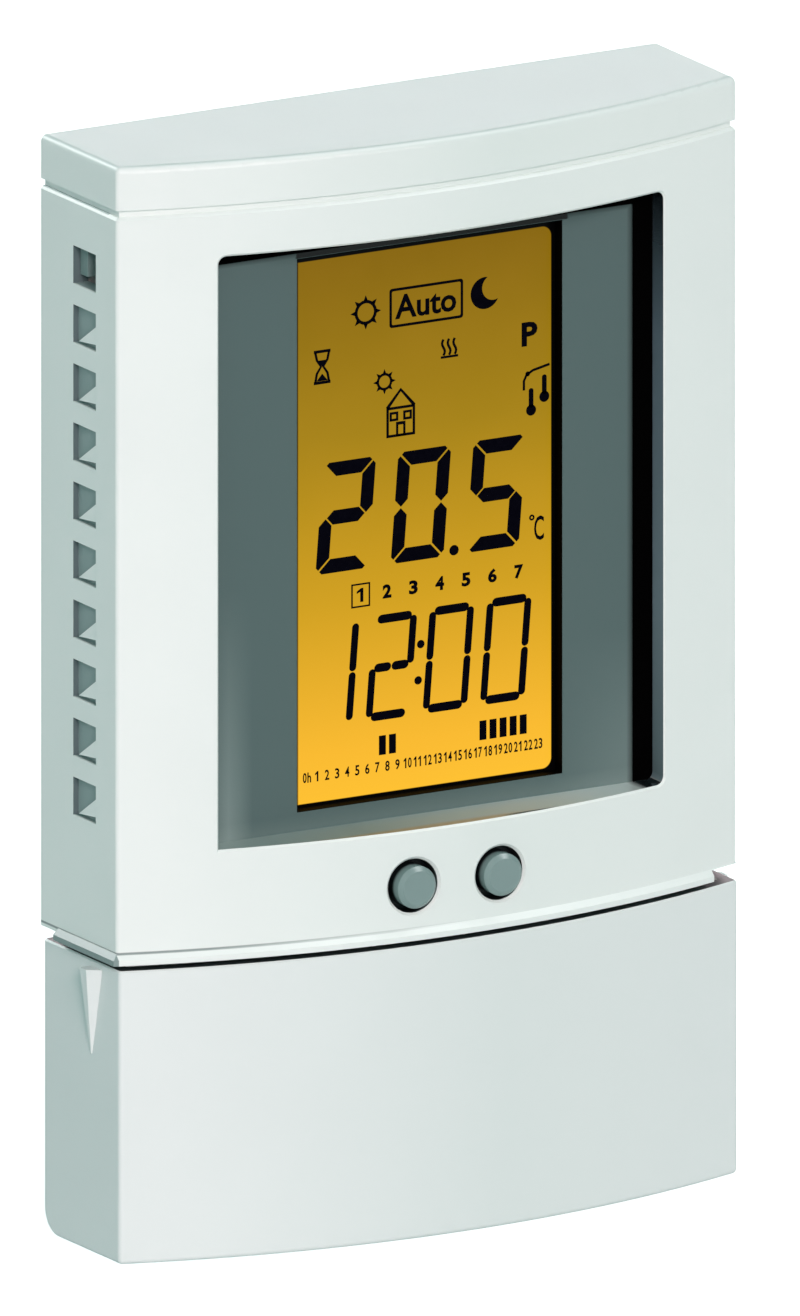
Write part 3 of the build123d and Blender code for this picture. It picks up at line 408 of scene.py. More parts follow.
display = Finish("display_amber", Base_Color=grey(0.001), Specular_IOR_Level=0.08, Emission_Strength=1.0)
display.set("Roughness", 0.3)
up = display.node("MapRange", {}, [display.z, OPENING_LOW, OPENING_HIGH, 0.0, 1.0])
glow = display.node(
    "ValToRGB",
    {
        "stops": [
            (0, shade(255, 194, 48)),
            (0.09, shade(250, 187, 46)),
            (0.36, shade(208, 160, 26)),
            (0.66, shade(163, 129, 16)),
            (1, shade(128, 97, 4)),
        ]
    },
    [up],
)
mottle = display.noise(9 * MM, 2)
glow = display.mix(0.08 * mottle, glow, shade(236, 170, 60))
past_x = (display.x - (LIT_RIGHT - LIT_ROUND)) | 0
past_z = (abs(display.z - LIT_MIDDLE) - (LIT_HALF - LIT_ROUND)) | 0
rim = (past_x * past_x + past_z * past_z).above(LIT_ROUND**2, 2e-7)
rim = rim | (1 - display.x.above(LIT_LEFT, 0.2 * MM))
front_only = display.depth.above(GLASS_DEPTH - 0.1 * MM, 0.05 * MM)
display.set("Emission Color", display.mix(rim * front_only, glow, grey(0)))

guide = Finish("guide_amber", Base_Color=(0.9, 0.55, 0.12), Roughness=0.25, Emission_Strength=0.35)
guide.set("Emission Color", guide.mix(guide.noise(1.2 * MM), (0.8, 0.4, 0.04), (0.9, 0.5, 0.08)))
lamp = Finish("lamp_epoxy", Roughness=0.15, Emission_Strength=0.5)
lamp.set("Base Color", lamp.mix(lamp.noise(0.5 * MM), (0.9, 0.62, 0.2), (0.95, 0.75, 0.35)))
lamp.set("Emission Color", lamp.mix(lamp.noise(0.8 * MM), (0.9, 0.5, 0.1), (1, 0.6, 0.2)))
ink = Finish("display_ink", Specular_IOR_Level=0.0)
ink.set("Base Color", ink.mix(ink.noise(0.6 * MM), (0.001, 0.001, 0.003), (0.003, 0.003, 0.006)))
ink.set("Roughness", 0.5 + 0.1 * ink.noise(0.3 * MM))
print("display glass front at depth", round(GLASS_DEPTH / MM, 2), "mm")

# %% [markdown]
# ## Metals and dark parts
# Zinc-plated screws are slightly cloudy, nickel springs are brighter, and aluminium cans are
# brushed. Relay, chips and switches are black epoxy with a dull, dusty skin. The strips that join
# display and board are rubber with hundreds of fine dark conducting layers.


# %% Metals and dark parts
def metal(name, colour, roughness, size):
    finish = Finish(name, Metallic=1.0)
    cloud = finish.noise(size, 3)
    finish.set("Base Color", finish.mix(cloud, tuple(c * 0.9 for c in colour), colour))
    finish.set("Roughness", roughness + 0.18 * (cloud - 0.5))
    finish.relief(finish.noise(0.15 * MM, 2), 0.002 * MM)
    return finish


zinc = metal("zinc_plate", (0.62, 0.64, 0.66), 0.34, 1.5 * MM)
nickel = metal("nickel_plate", (0.74, 0.71, 0.64), 0.22, 2.5 * MM)
can = metal("aluminium_can", (0.80, 0.80, 0.81), 0.3, 0.8 * MM)
epoxy = moulded("epoxy_black", grey(0.02), 0.55, grain=0.3 * MM, relief=0.006 * MM)

rubber = Finish("contact_rubber", Roughness=0.7)
bands = {"wave_type": "BANDS", "bands_direction": "X"}
layers = rubber.node("TexWave", bands, {"Vector": rubber.place, "Scale": 1 / (1.2 * MM)}, out="Fac")
rubber.set("Base Color", rubber.mix(layers.above(0.5, 0.3), (0.20, 0.12, 0.12), grey(0.02)))
print("metals:", [f.material.name for f in (zinc, nickel, can)])

# %% [markdown]
# ## Circuit board
# Green solder mask lies over copper tracks, so the tracks show as a paler green and stand out by a
# few hundredths of a millimetre. Cells of a Voronoi texture measured in square steps make runs and
# corners like a routed board, and a second, finer pattern adds the plated holes.

# %% Circuit board
board = Finish("board_green", Coat_Roughness=0.12)
tracks = 1 - board.cells(4.2 * MM, 0.45, "DISTANCE_TO_EDGE").above(0.09, 0.03)
holes = 1 - board.cells(3.1 * MM, 0.6).above(0.13, 0.03)
mask_colour = board.mix(tracks, (0.012, 0.10, 0.045), (0.03, 0.20, 0.08))
board.set("Base Color", board.mix(holes, mask_colour, (0.70, 0.62, 0.42)))
board.set("Metallic", holes * 0.9)
board.set("Coat Weight", 0.6 * (1 - holes))
board.set("Roughness", 0.42 - 0.12 * holes)
board.relief(tracks | holes, 0.02 * MM)
print("board finish made")

# %% [markdown]
# ## Battery sleeves
# Each cell is a steel can in a printed sleeve: dark for most of its length, copper-coloured near
# its positive end, with bare steel at both ends. The two cells lie in opposite directions, so one
# function takes the positions along X of the ends and works out the bands from them.


# %% Battery sleeves
def sleeve(name, positive_end, negative_end, axis_z):
    """A cell's finish. The ends are positions along X of its shoulders."""
    finish = Finish(name, Coat_Roughness=0.08)
    sign = 1 if positive_end > negative_end else -1
    from_plus = (positive_end - finish.x) * sign
    length = abs(positive_end - negative_end)
    edge, bare, arm, thin = 0.05 * MM, 0.7 * MM, 1.7 * MM, 0.35 * MM
    printed = from_plus.above(bare, edge) * (1 - from_plus.above(length - bare, edge))
    dark = from_plus.above(13 * MM, 0.06 * MM)
    across, plus_at, minus_at = finish.z - axis_z, 6.5 * MM, length - 6 * MM
    plus = from_plus.within(plus_at, arm, edge) * across.within(0, thin, edge)
    plus = plus | from_plus.within(plus_at, thin, edge) * across.within(0, arm, edge)
    minus = from_plus.within(minus_at, arm, edge) * across.within(0, thin, edge)
    line = from_plus.within(14.2 * MM, 0.25 * MM, edge)
    colour = finish.mix(dark, (0.55, 0.26, 0.10), (0.012, 0.022, 0.035))
    colour = finish.mix(plus | minus | line, colour, grey(0.8))
    finish.set("Base Color", finish.mix(printed, (0.72, 0.72, 0.73), colour))
    finish.set("Metallic", 1 - printed * 0.8)
    finish.set("Roughness", 0.28 + 0.1 * finish.noise(0.5 * MM))
    finish.set("Coat Weight", printed)
    return finish


CELL_NUB = 1.3 * MM


def cell_sleeve(node):
    low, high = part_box(node)
    if node == "battery_upper":
        negative, positive = low.x, high.x - CELL_NUB
    else:
        negative, positive = high.x, low.x + CELL_NUB
    return sleeve(node + "_sleeve", positive, negative, (low.z + high.z) / 2)


cell_finishes = {node: cell_sleeve(node) for node in ("battery_upper", "battery_lower")}
print("sleeves:", list(cell_finishes))

# %% [markdown]
# ## Giving the CAD parts their finishes
# Each part arrives with one plain material. Its slot on the object takes the new one, and the mesh
# itself isn't touched.

# %% Finishes on the CAD parts
FINISHES = {
    case: ["top_cap"],
    door: ["door"],
    cover: ["front_cover"],
    base: ["wall_plate", "chassis"],
    panel: ["control_panel"],
    button: ["button_left", "button_right", "mode_slider", "temperature_sensor"]
    + [f"program_key_{i}" for i in range(1, 5)],
    holder: ["display_holder"],
    plate: ["display_bezel"],
    seal: ["light_seal"],
    display: ["lcd_glass"],
    guide: ["light_guide"],
    lamp: ["backlight_leds"],
    rubber: ["connector_strips"],
    board: ["main_board"],
    epoxy: ["key_switches", "microcontroller", "relay"],
    zinc: ["slide_switch", "terminal_screws", "case_screw", "board_screws", "cover_screws"],
    nickel: ["contact_blades", "battery_contacts"],
    can: ["quartz_crystal", "capacitors"],
    block_green: ["terminal_block"],
    cell_finishes["battery_upper"]: ["battery_upper"],
    cell_finishes["battery_lower"]: ["battery_lower"],
}
for finish, names in FINISHES.items():
    for name in names:
        for slot in parts[name].material_slots:
            slot.material = finish.material
print("parts finished:", sum(len(names) for names in FINISHES.values()), "of", len(parts))

# %% [markdown]
# ## Printing shapes
# Signs and digits are flat shapes a few hundredths of a millimetre thick. A flat curve fills the
# area between its loops by itself, so a ring is two circles and a box with a window is two
# rectangles. Each shape is drawn in millimetres on its own plane, turned into a mesh, and set
# upright at its depth.

# %% Loops and prints
PRINT_THICK = 0.02 * MM
ROUND_STEPS = 20


def arc(x, z, radius, start=0.0, end=360.0, steps=ROUND_STEPS, closed=True):
    count = steps if closed else steps + 1
    angles = [math.radians(start + (end - start) * i / steps) for i in range(count)]
    return [(x + radius * math.cos(a), z + radius * math.sin(a)) for a in angles]


def box(x, z, wide, high, corner=0.0):
    half_wide, half_high = wide / 2, high / 2
    if not corner:
        signs = ((-1, -1), (1, -1), (1, 1), (-1, 1))
        return [(x + side_x * half_wide, z + side_z * half_high) for side_x, side_z in signs]
    points = []
    for turn_start, side_x, side_z in ((180, -1, -1), (270, 1, -1), (0, 1, 1), (90, -1, 1)):
        centre = (x + side_x * (half_wide - corner), z + side_z * (half_high - corner))
        points += arc(*centre, corner, turn_start, turn_start + 90, 5, closed=False)
    return points


def stroke(points, width, round_ends=False):
    """The outline of a line of that width through the points."""
    left, right = [], []
    for i, (x, z) in enumerate(points):
        before, after = points[max(i - 1, 0)], points[min(i + 1, len(points) - 1)]
        dx, dz = after[0] - before[0], after[1] - before[1]
        size = math.hypot(dx, dz)
        nx, nz = -dz / size * width / 2, dx / size * width / 2
        left.append((x + nx, z + nz))
        right.append((x - nx, z - nz))
    if not round_ends:
        return left + right[::-1]
    ends = []
    for tip, inner in ((points[-1], points[-2]), (points[0], points[1])):
        heading = math.degrees(math.atan2(tip[1] - inner[1], tip[0] - inner[0]))
        ends.append(arc(*tip, width / 2, heading + 90, heading - 90, 6, closed=False))
    return left + ends[0] + right[::-1] + ends[1]


def upright(mesh, depth):
    """Stands a flat mesh up so that it faces the front, with its middle at that depth."""
    mesh.transform(Matrix(((1, 0, 0, 0), (0, 0, -1, -depth), (0, 1, 0, 0), (0, 0, 0, 1))))


def curve_mesh(curve):
    """The mesh of a curve or text, made through an object that is removed again."""
    drawing = bpy.data.objects.new("drawing", curve)
    bpy.context.scene.collection.objects.link(drawing)
    graph = bpy.context.evaluated_depsgraph_get()
    mesh = bpy.data.meshes.new_from_object(drawing.evaluated_get(graph))
    bpy.data.objects.remove(drawing)
    bpy.data.curves.remove(curve)
    return mesh


def flat_shape(loops):
    """A thin slab that fills the area between loops of points, which are in millimetres."""
    curve = bpy.data.curves.new("loops", "CURVE")
    curve.dimensions, curve.fill_mode = "2D", "BOTH"
    curve.extrude = PRINT_THICK / 2
    for loop in loops:
        spline = curve.splines.new("POLY")
        spline.points.add(len(loop) - 1)
        for point, (x, z) in zip(spline.points, loop):
            point.co = (x * MM, z * MM, 0, 1)
        spline.use_cyclic_u = True
    return curve_mesh(curve)


def lettering(words, x, z, high, wide=None, bold=0.0):
    """A text whose lower left corner is at x, z, stretched to that height and width in millimetres."""
    curve = bpy.data.curves.new("words", "FONT")
    curve.body, curve.size, curve.resolution_u = words, 1, 3
    curve.offset, curve.extrude, curve.fill_mode = bold, PRINT_THICK / 2, "BOTH"
    mesh = curve_mesh(curve)
    xs, ys = [v.co.x for v in mesh.vertices], [v.co.y for v in mesh.vertices]
    tall = max(ys) - min(ys)
    scale_y = high / tall
    scale_x = wide / (max(xs) - min(xs)) if wide else scale_y
    mesh.transform(
        Matrix.Translation((x * MM, z * MM, 0))
        @ Matrix.Diagonal((scale_x * MM, scale_y * MM, 1, 1))
        @ Matrix.Translation((-min(xs), -min(ys), 0))
    )
    return mesh


def piece(name, meshes, depth, finish, body="unit"):
    """One object from several flat meshes, upright at that depth, riding on a body."""
    shape = bmesh.new()
    for mesh in meshes:
        upright(mesh, depth)
        shape.from_mesh(mesh)
        bpy.data.meshes.remove(mesh)
    bmesh.ops.remove_doubles(shape, verts=shape.verts, dist=1e-7)
    bmesh.ops.recalc_face_normals(shape, faces=shape.faces)
    made = bpy.data.meshes.new(name)
    shape.to_mesh(made)
    shape.free()
    made.materials.append(finish.material)
    item = bpy.data.objects.new(name, made)
    bpy.context.scene.collection.objects.link(item)
    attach(item, body)
    print(name, "with", len(made.polygons), "faces")


# %% [markdown]
# ## Mode signs on the display
# The top of the display shows which mode runs: a sun for comfort, a framed word for automatic and a
# moon for the night. Sun and moon appear again on the panel's switch, so they are functions.


# %% Mode signs
DISPLAY_PRINT = GLASS_DEPTH + PRINT_THICK * 0.45  # the rear of a print is just inside the glass


def sun(x, z, radius, line):
    """An outline sun: a ring and eight pointed rays."""
    loops = [[arc(x, z, radius + line / 2), arc(x, z, radius - line / 2)]]
    for i in range(8):
        angle = math.radians(45 * i)
        root, tip = radius + line * 0.2, radius + line * 2.0
        ray = [(root, -line * 0.75), (tip, 0), (root, line * 0.75)]
        cos, sin = math.cos(angle), math.sin(angle)
        loops.append([[(x + along * cos - off * sin, z + along * sin + off * cos) for along, off in ray]])
    return loops


def moon(x, z, radius, bite=(0.55, 0.5), bite_radius=0.82):
    """A filled crescent whose open side faces up and to the right."""
    cx, cz, cr = x + bite[0] * radius, z + bite[1] * radius, bite_radius * radius
    gap = math.hypot(cx - x, cz - z)
    facing = math.degrees(math.atan2(cz - z, cx - x))
    half = math.degrees(math.acos((gap**2 + radius**2 - cr**2) / (2 * gap * radius)))
    inner = math.degrees(math.acos((gap**2 + cr**2 - radius**2) / (2 * gap * cr)))
    outside = arc(x, z, radius, facing + half, facing + 360 - half, 24, closed=False)
    inside = arc(cx, cz, cr, facing + 180 + inner, facing + 180 - inner, 16, closed=False)
    return [[outside + inside[1:-1]]]


def shapes(groups):
    return [flat_shape(loops) for loops in groups]


word_box = [[box(0.48, 43.25, 9.75, 4.65, 0.35), box(0.48, 43.25, 9.1, 4.0, 0.2)]]
night = moon(8.25, 43.45, 1.9, bite=(0.6, 0.3), bite_radius=0.8)
mode_signs = shapes(sun(-7.53, 43.25, 1.28, 0.38) + word_box + night)
mode_signs.append(lettering("Auto", -3.65, 41.85, 2.9, 8.1, bold=0.022))
piece("display_mode_signs", mode_signs, DISPLAY_PRINT, ink)

# %% [markdown]
# ## Small signs
# Below stand a house with a sun beside it, an hourglass for a timed stay, waves of heat, a letter
# for the programme number and a pair of thermometers under a line like a roof, for outside and
# inside. Lines are drawn as strokes of even width.

# %% Small signs
LINE = 0.31
house = [
    [box(-2.9, 29.75, 3.8, 3.6), box(-2.9, 29.75, 3.15, 2.95)],
    [stroke([(-4.7, 31.45), (-2.9, 33.5), (-1.1, 31.45)], 0.42)],
    [box(-3.8, 30.4, 1.15, 1.1), box(-3.8, 30.4, 0.55, 0.5)],
    [box(-2.0, 30.4, 1.15, 1.1), box(-2.0, 30.4, 0.55, 0.5)],
    [box(-2.9, 28.85, 1.25, 1.75), box(-2.9, 28.75, 0.65, 1.2)],
]
hourglass = [
    [stroke([(-14.4, 39.4), (-12.2, 39.4)], 0.35)],
    [stroke([(-14.4, 35.7), (-12.2, 35.7)], 0.35)],
    [stroke([(-14.2, 39.3), (-14.0, 38.4), (-13.45, 37.6), (-14.0, 36.8), (-14.2, 35.8)], LINE)],
    [stroke([(-12.4, 39.3), (-12.6, 38.4), (-13.15, 37.6), (-12.6, 36.8), (-12.4, 35.8)], LINE)],
    [[(-13.9, 38.35), (-12.7, 38.35), (-13.3, 37.65)]],
    [[(-14.05, 35.9), (-12.55, 35.9), (-13.3, 36.75)]],
]
heat = [[stroke([(2.4, 36.55), (4.7, 36.55)], 0.28)]]
for i in range(3):
    middle = 2.75 + 0.75 * i
    wave = [(middle + 0.18 * math.sin(2 * math.pi * t / 8), 36.75 + 0.24 * t) for t in range(9)]
    heat.append([stroke(wave, LINE)])
thermometers = []
for x, z in ((14.35, 28.75), (16.1, 30.15)):
    thermometers += [[arc(x, z, 0.66)], [box(x, z + 1.45, 0.62, 2.3, 0.28)]]
thermometers += [
    [stroke([(13.4, 31.2), (13.4, 32.3), (13.75, 33.0), (14.6, 33.45), (16.8, 33.9)], LINE)],
    [arc(13.9, 33.1, 0.3)],
]
small = house + hourglass + heat + thermometers + sun(-5.05, 34.7, 0.88, 0.31)
small_signs = shapes(small) + [lettering("P", 13.1, 36.4, 2.85, 2.1, bold=0.035)]
piece("display_small_signs", small_signs, DISPLAY_PRINT, ink)

# %% [markdown]
# ## Seven-segment digits
# A digit is a frame of seven bars that leans a little. The large temperature digits have mitred
# bars that almost touch. The smaller clock digits have bars with rounded ends and clear gaps. One
# table says which bars each numeral lights, and two functions draw the two kinds of bar.

# %% Which bars a numeral lights
#   a
# f   b
#   g
# e   c
#   d
LIT = {"0": "abcdef", "1": "bc", "2": "abged", "5": "afgcd"}
LEAN = 0.08


def leaning(points, foot):
    return [(x + LEAN * (z - foot), z) for x, z in points]


# %% Temperature digits
def mitred_digit(numeral, x, z, wide, high, thick, gap=0.16, cut=0.8):
    """Bars with slanted joints and cut corners. x and z are the digit's lower left corner."""
    right, top, middle = x + wide, z + high, z + high / 2
    half, joint = thick / 2, middle + gap / 2
    near, far = (cut - gap) / 2, (cut + gap) / 2
    upper = [(right - cut, top), (right - far, top - near), (right - thick - gap, top - thick)]
    upper += [(x + thick + gap, top - thick), (x + far, top - near), (x + cut, top)]
    upright_bar = [(right, top - cut), (right - near, top - far), (right - thick, top - thick - gap)]
    upright_bar += [(right - thick, joint + half), (right - half, joint), (right, joint + half)]
    ends = [(right - half - gap, middle)]
    ends += [(right - thick - gap, middle + half), (x + thick + gap, middle + half)]

    def mirrored(points, across=False, down=False):
        return [(x + right - px if across else px, z + top - pz if down else pz) for px, pz in points]

    bars = {
        "a": upper,
        "b": upright_bar,
        "c": mirrored(upright_bar, down=True),
        "d": mirrored(upper, down=True),
        "e": mirrored(upright_bar, across=True, down=True),
        "f": mirrored(upright_bar, across=True),
        "g": ends + mirrored(ends, across=True, down=True),
    }
    return [[leaning(bars[name], z)] for name in LIT[numeral]]


TEMPERATURE_FOOT, TEMPERATURE_HIGH = 12.95, 13.1
temperature = []
for i, numeral in enumerate("205"):
    temperature += mitred_digit(numeral, -14.2 + 9.95 * i, TEMPERATURE_FOOT, 7.0, TEMPERATURE_HIGH, 1.68)
temperature.append([arc(4.15, 13.5, 0.62)])
temperature.append([arc(14.45, 16.0, 0.36), arc(14.45, 16.0, 0.14)])
temperature_meshes = shapes(temperature) + [lettering("C", 14.75, 13.2, 2.9, 1.3, bold=0.012)]
piece("display_temperature", temperature_meshes, DISPLAY_PRINT, ink)


# %% Clock digits
def rounded_digit(numeral, x, z, wide, high, thick):
    """Bars with rounded ends. x and z are the lower left corner of the bars' middle lines."""
    right, top, middle = x + wide, z + high, z + high / 2
    inset, end = 0.75, 0.5
    upright_bars = {"f": (x, middle, top), "b": (right, middle, top)}
    upright_bars |= {"e": (x, z, middle), "c": (right, z, middle)}
    drawn = []
    for name in LIT[numeral]:
        if name in upright_bars:
            at, low, high_end = upright_bars[name]
            points, width = [(at, low + end), (at, high_end - end)], thick * 0.88
        else:
            level = {"a": top, "g": middle, "d": z}[name]
            points, width = [(x + inset, level), (right - inset, level)], thick
        if name == "g":  # the clock's middle bar is in two halves
            centre = (x + right) / 2
            halves = [[points[0], (centre - 0.55, level)], [(centre + 0.55, level), points[1]]]
            drawn += [[leaning(stroke(half, width, True), z)] for half in halves]
        else:
            drawn.append([leaning(stroke(points, width, True), z)])
    return drawn


CLOCK_FOOT = -4.85
clock = []
for numeral, x in (("1", -14.75), ("2", -7.1), ("0", 0.45), ("0", 8.05)):
    clock += rounded_digit(numeral, x, CLOCK_FOOT, 5.0, 11.45, 1.04)
clock += [[arc(-0.25, 2.95, 0.5)], [arc(-0.6, -1.3, 0.5)]]
piece("display_clock", shapes(clock), DISPLAY_PRINT, ink)

# %% [markdown]
# ## Days and hours
# The week is a row of seven numerals, with a box round today's. Along the foot of the display runs
# a scale of 24 hours. Both are text, which Blender turns into filled shapes. The text's own figure
# one is a plain bar, so a one is drawn with its flag, and each figure gets a cell of equal width.


# %% Days and hours
def figures(words, x, z, high, cell, bold=0.0):
    """Figures in cells of that width, starting at the lower left corner x, z."""
    made = []
    for i, figure in enumerate(words):
        left, wide = x + cell * (i + 0.1), cell * 0.8
        if figure == "1":
            stem, right, tip = left + 0.45 * wide, left + 0.8 * wide, left + 0.05 * wide
            one = [(stem, z), (right, z), (right, z + high), (left + 0.55 * wide, z + high)]
            one += [(tip, z + 0.78 * high), (tip, z + 0.62 * high), (stem, z + 0.74 * high)]
            made.append(flat_shape([one]))
        else:
            made.append(lettering(figure, left, z, high, wide, bold))
    return made


DAY_PITCH, DAY_FIRST, DAY_FOOT, DAY_CELL = 3.487, -8.2, 9.0, 1.45
days = []
for i in range(7):
    left = DAY_FIRST + DAY_PITCH * i - DAY_CELL / 2
    days += figures(str(i + 1), left, DAY_FOOT, 1.65, DAY_CELL, bold=0.045)
days += shapes([[box(DAY_FIRST, 9.8, 2.5, 2.85), box(DAY_FIRST, 9.8, 2.1, 2.45)]])
piece("display_days", days, DISPLAY_PRINT, ink)

HOUR_PITCH, HOUR_FIRST, HOUR_FOOT = 1.331, -15.31, -11.5
hours = []
for hour in range(24):
    words = "0h" if hour == 0 else str(hour)
    cell = 0.6 if len(words) == 2 else 0.72
    left = HOUR_FIRST + HOUR_PITCH * hour - cell * len(words) / 2
    hours += figures(words, left, HOUR_FOOT, 1.22, cell, bold=0.02)
piece("display_hours", hours, DISPLAY_PRINT, ink)

# %% [markdown]
# ## Bars over the hours, by Geometry Nodes
# Over the hour scale a bar stands for every hour with heating. This is a row with gaps: 24 places
# on a line, and a bar on each place whose number lies in one of two spans. Geometry Nodes describe
# just that rule, so the programme changes by changing four numbers.


# %% A helper for Geometry Nodes
class Rule:
    """A Geometry Nodes tree with named inputs, built node by node."""

    def __init__(self, name, **inputs):
        self.tree = bpy.data.node_groups.new(name, "GeometryNodeTree")
        self.identifiers = {}
        for label, value in inputs.items():
            kind = "NodeSocketInt" if isinstance(value, int) else "NodeSocketFloat"
            socket = self.tree.interface.new_socket(label, in_out="INPUT", socket_type=kind)
            self.identifiers[label] = (socket.identifier, value)
        self.tree.interface.new_socket("Geometry", in_out="OUTPUT", socket_type="NodeSocketGeometry")
        self.given = self.tree.nodes.new("NodeGroupInput")
        self.result = self.tree.nodes.new("NodeGroupOutput")

    def add(self, kind, settings=None, inputs=None, out=0):
        made = self.tree.nodes.new(kind)
        for name, value in (settings or {}).items():
            setattr(made, name, value)
        for name, value in (inputs or {}).items():
            if isinstance(value, bpy.types.NodeSocket):
                self.tree.links.new(value, made.inputs[name])
            elif isinstance(value, str):
                self.tree.links.new(self.given.outputs[value], made.inputs[name])
            else:
                made.inputs[name].default_value = value
        return made.outputs[out]

    def maths(self, operation, first, second):
        return self.add("ShaderNodeMath", {"operation": operation}, {0: first, 1: second})

    def vector(self, x=0.0, y=0.0, z=0.0):
        return self.add("ShaderNodeCombineXYZ", {}, {"X": x, "Y": y, "Z": z})

    def in_front(self, x, depth, z):
        """The place at that depth in front of the wall."""
        return self.vector(x, self.maths("MULTIPLY", depth, -1.0), z)

    def box(self, wide, thick, high):
        return self.add("GeometryNodeMeshCube", {}, {"Size": self.vector(wide, thick, high)})

    def upright_grid(self, wide, high, columns, rows, middle):
        """The points of a grid that faces the wall, round that middle."""
        sizes = {"Size X": wide, "Size Y": high, "Vertices X": columns, "Vertices Y": rows}
        flat = self.add("GeometryNodeMeshGrid", {}, sizes)
        stand = {"Geometry": flat, "Translation": middle, "Rotation": (math.pi / 2, 0, 0)}
        return self.add("GeometryNodeTransform", {}, stand)

    def put(self, instance, points, **choice):
        given = {"Points": points, "Instance": instance, **choice}
        return self.add("GeometryNodeInstanceOnPoints", {}, given)

    def grow(self, name, instances, finish, body="unit"):
        """Ends the tree, runs it on an empty mesh, and keeps the result as a plain piece."""
        real = self.add("GeometryNodeRealizeInstances", {}, {0: instances})
        painted = self.add("GeometryNodeSetMaterial", {}, {"Geometry": real, "Material": finish.material})
        self.tree.links.new(painted, self.result.inputs[0])
        seed = bpy.data.objects.new(name + "_seed", bpy.data.meshes.new(name + "_seed"))
        bpy.context.scene.collection.objects.link(seed)
        modifier = seed.modifiers.new("rule", "NODES")
        modifier.node_group = self.tree
        for identifier, value in self.identifiers.values():
            modifier[identifier] = value
        graph = bpy.context.evaluated_depsgraph_get()
        mesh = bpy.data.meshes.new_from_object(seed.evaluated_get(graph))
        bpy.data.objects.remove(seed)
        mesh.name = name
        item = bpy.data.objects.new(name, mesh)
        bpy.context.scene.collection.objects.link(item)
        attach(item, body)
        print(name, "grown with", len(mesh.polygons), "faces")


# %% Hour bars
bars = Rule(
    "hour_bars",
    Hours=24,
    Pitch=HOUR_PITCH * MM,
    Wide=0.92 * MM,
    High=2.3 * MM,
    Thick=PRINT_THICK,
    FirstX=(HOUR_FIRST + HOUR_PITCH / 2) * MM,
    MiddleZ=-8.35 * MM,
    Depth=DISPLAY_PRINT,
    MorningFrom=7,
    MorningTo=8,
    EveningFrom=17,
    EveningTo=21,
)
first = bars.in_front("FirstX", "Depth", "MiddleZ")
row = {"Count": "Hours", "Start Location": first, "Offset": bars.vector("Pitch")}
places = bars.add("GeometryNodeMeshLine", {"mode": "OFFSET"}, row)
number = bars.add("GeometryNodeInputIndex")


def span(first, last):
    after = bars.maths("GREATER_THAN", number, bars.maths("SUBTRACT", first, 0.5))
    before = bars.maths("LESS_THAN", number, bars.maths("ADD", last, 0.5))
    return bars.maths("MULTIPLY", after, before)


lit = bars.maths("MAXIMUM", span("MorningFrom", "MorningTo"), span("EveningFrom", "EveningTo"))
placed = bars.put(bars.box("Wide", "Thick", "High"), places, Selection=lit)
bars.grow("display_bars", placed, ink)

# %% [markdown]
# ## Signs behind the door
# The fixed panel under the door carries printed signs: a letter and a small clock for the two keys
# that open the programme and the time, plus and minus for the two that change a value, sun and moon
# at the ends of the mode switch, and the poles of the cells beside the battery bay.

# %% Panel signs
PANEL_PRINT = 15.3 * MM + PRINT_THICK / 2
KEY_XS, UPPER_SIGN_Z, LOWER_SIGN_Z = (20.6, 31.4), -33.3, -41.5
CELL_ZS, BAY_LEFT, BAY_RIGHT = (-37.05, -48.35), -37.5, 14.4
SWITCH_SIGN_XS, SWITCH_SIGN_Z = (19.6, 32.4), -54.6

panel_ink = Finish("panel_ink", Specular_IOR_Level=0.2)
panel_ink.set("Base Color", panel_ink.mix(panel_ink.noise(0.8 * MM), shade(58, 72, 74), shade(70, 84, 86)))
panel_ink.set("Roughness", 0.5 + 0.1 * panel_ink.noise(0.3 * MM))


def cross(x, z, size, line):
    half, thin = size / 2, line / 2
    quarter = [(thin, half), (thin, thin), (half, thin)]
    quarters = ((1, 1, 1), (1, -1, -1), (-1, -1, 1), (-1, 1, -1))
    turned = [(side_x * a, side_z * b) for side_x, side_z, order in quarters for a, b in quarter[::order]]
    return [[[(x + a, z + b) for a, b in turned]]]


def dash(x, z, size, line):
    return [[box(x, z, size, line)]]


def clock_face(x, z, radius, line):
    hands = stroke([(x, z + radius * 0.62), (x, z), (x + radius * 0.5, z - radius * 0.3)], line)
    return [[arc(x, z, radius), arc(x, z, radius - line)], [hands]]


signs = clock_face(KEY_XS[0], LOWER_SIGN_Z, 0.95, 0.25)
signs += cross(KEY_XS[1], UPPER_SIGN_Z, 1.9, 0.4) + dash(KEY_XS[1], LOWER_SIGN_Z, 1.9, 0.4)
signs += sun(SWITCH_SIGN_XS[0], SWITCH_SIGN_Z, 0.75, 0.22) + moon(SWITCH_SIGN_XS[1], SWITCH_SIGN_Z, 1.1)
signs += cross(BAY_RIGHT, CELL_ZS[0], 2.2, 0.45) + dash(BAY_RIGHT, CELL_ZS[1], 2.2, 0.45)
signs += dash(BAY_LEFT, CELL_ZS[0], 1.2, 0.35) + cross(BAY_LEFT, CELL_ZS[1], 1.2, 0.35)
panel_meshes = shapes(signs) + [lettering("P", KEY_XS[0] - 0.65, UPPER_SIGN_Z - 0.95, 1.9, 1.3, 0.02)]
piece("panel_signs", panel_meshes, PANEL_PRINT, panel_ink)

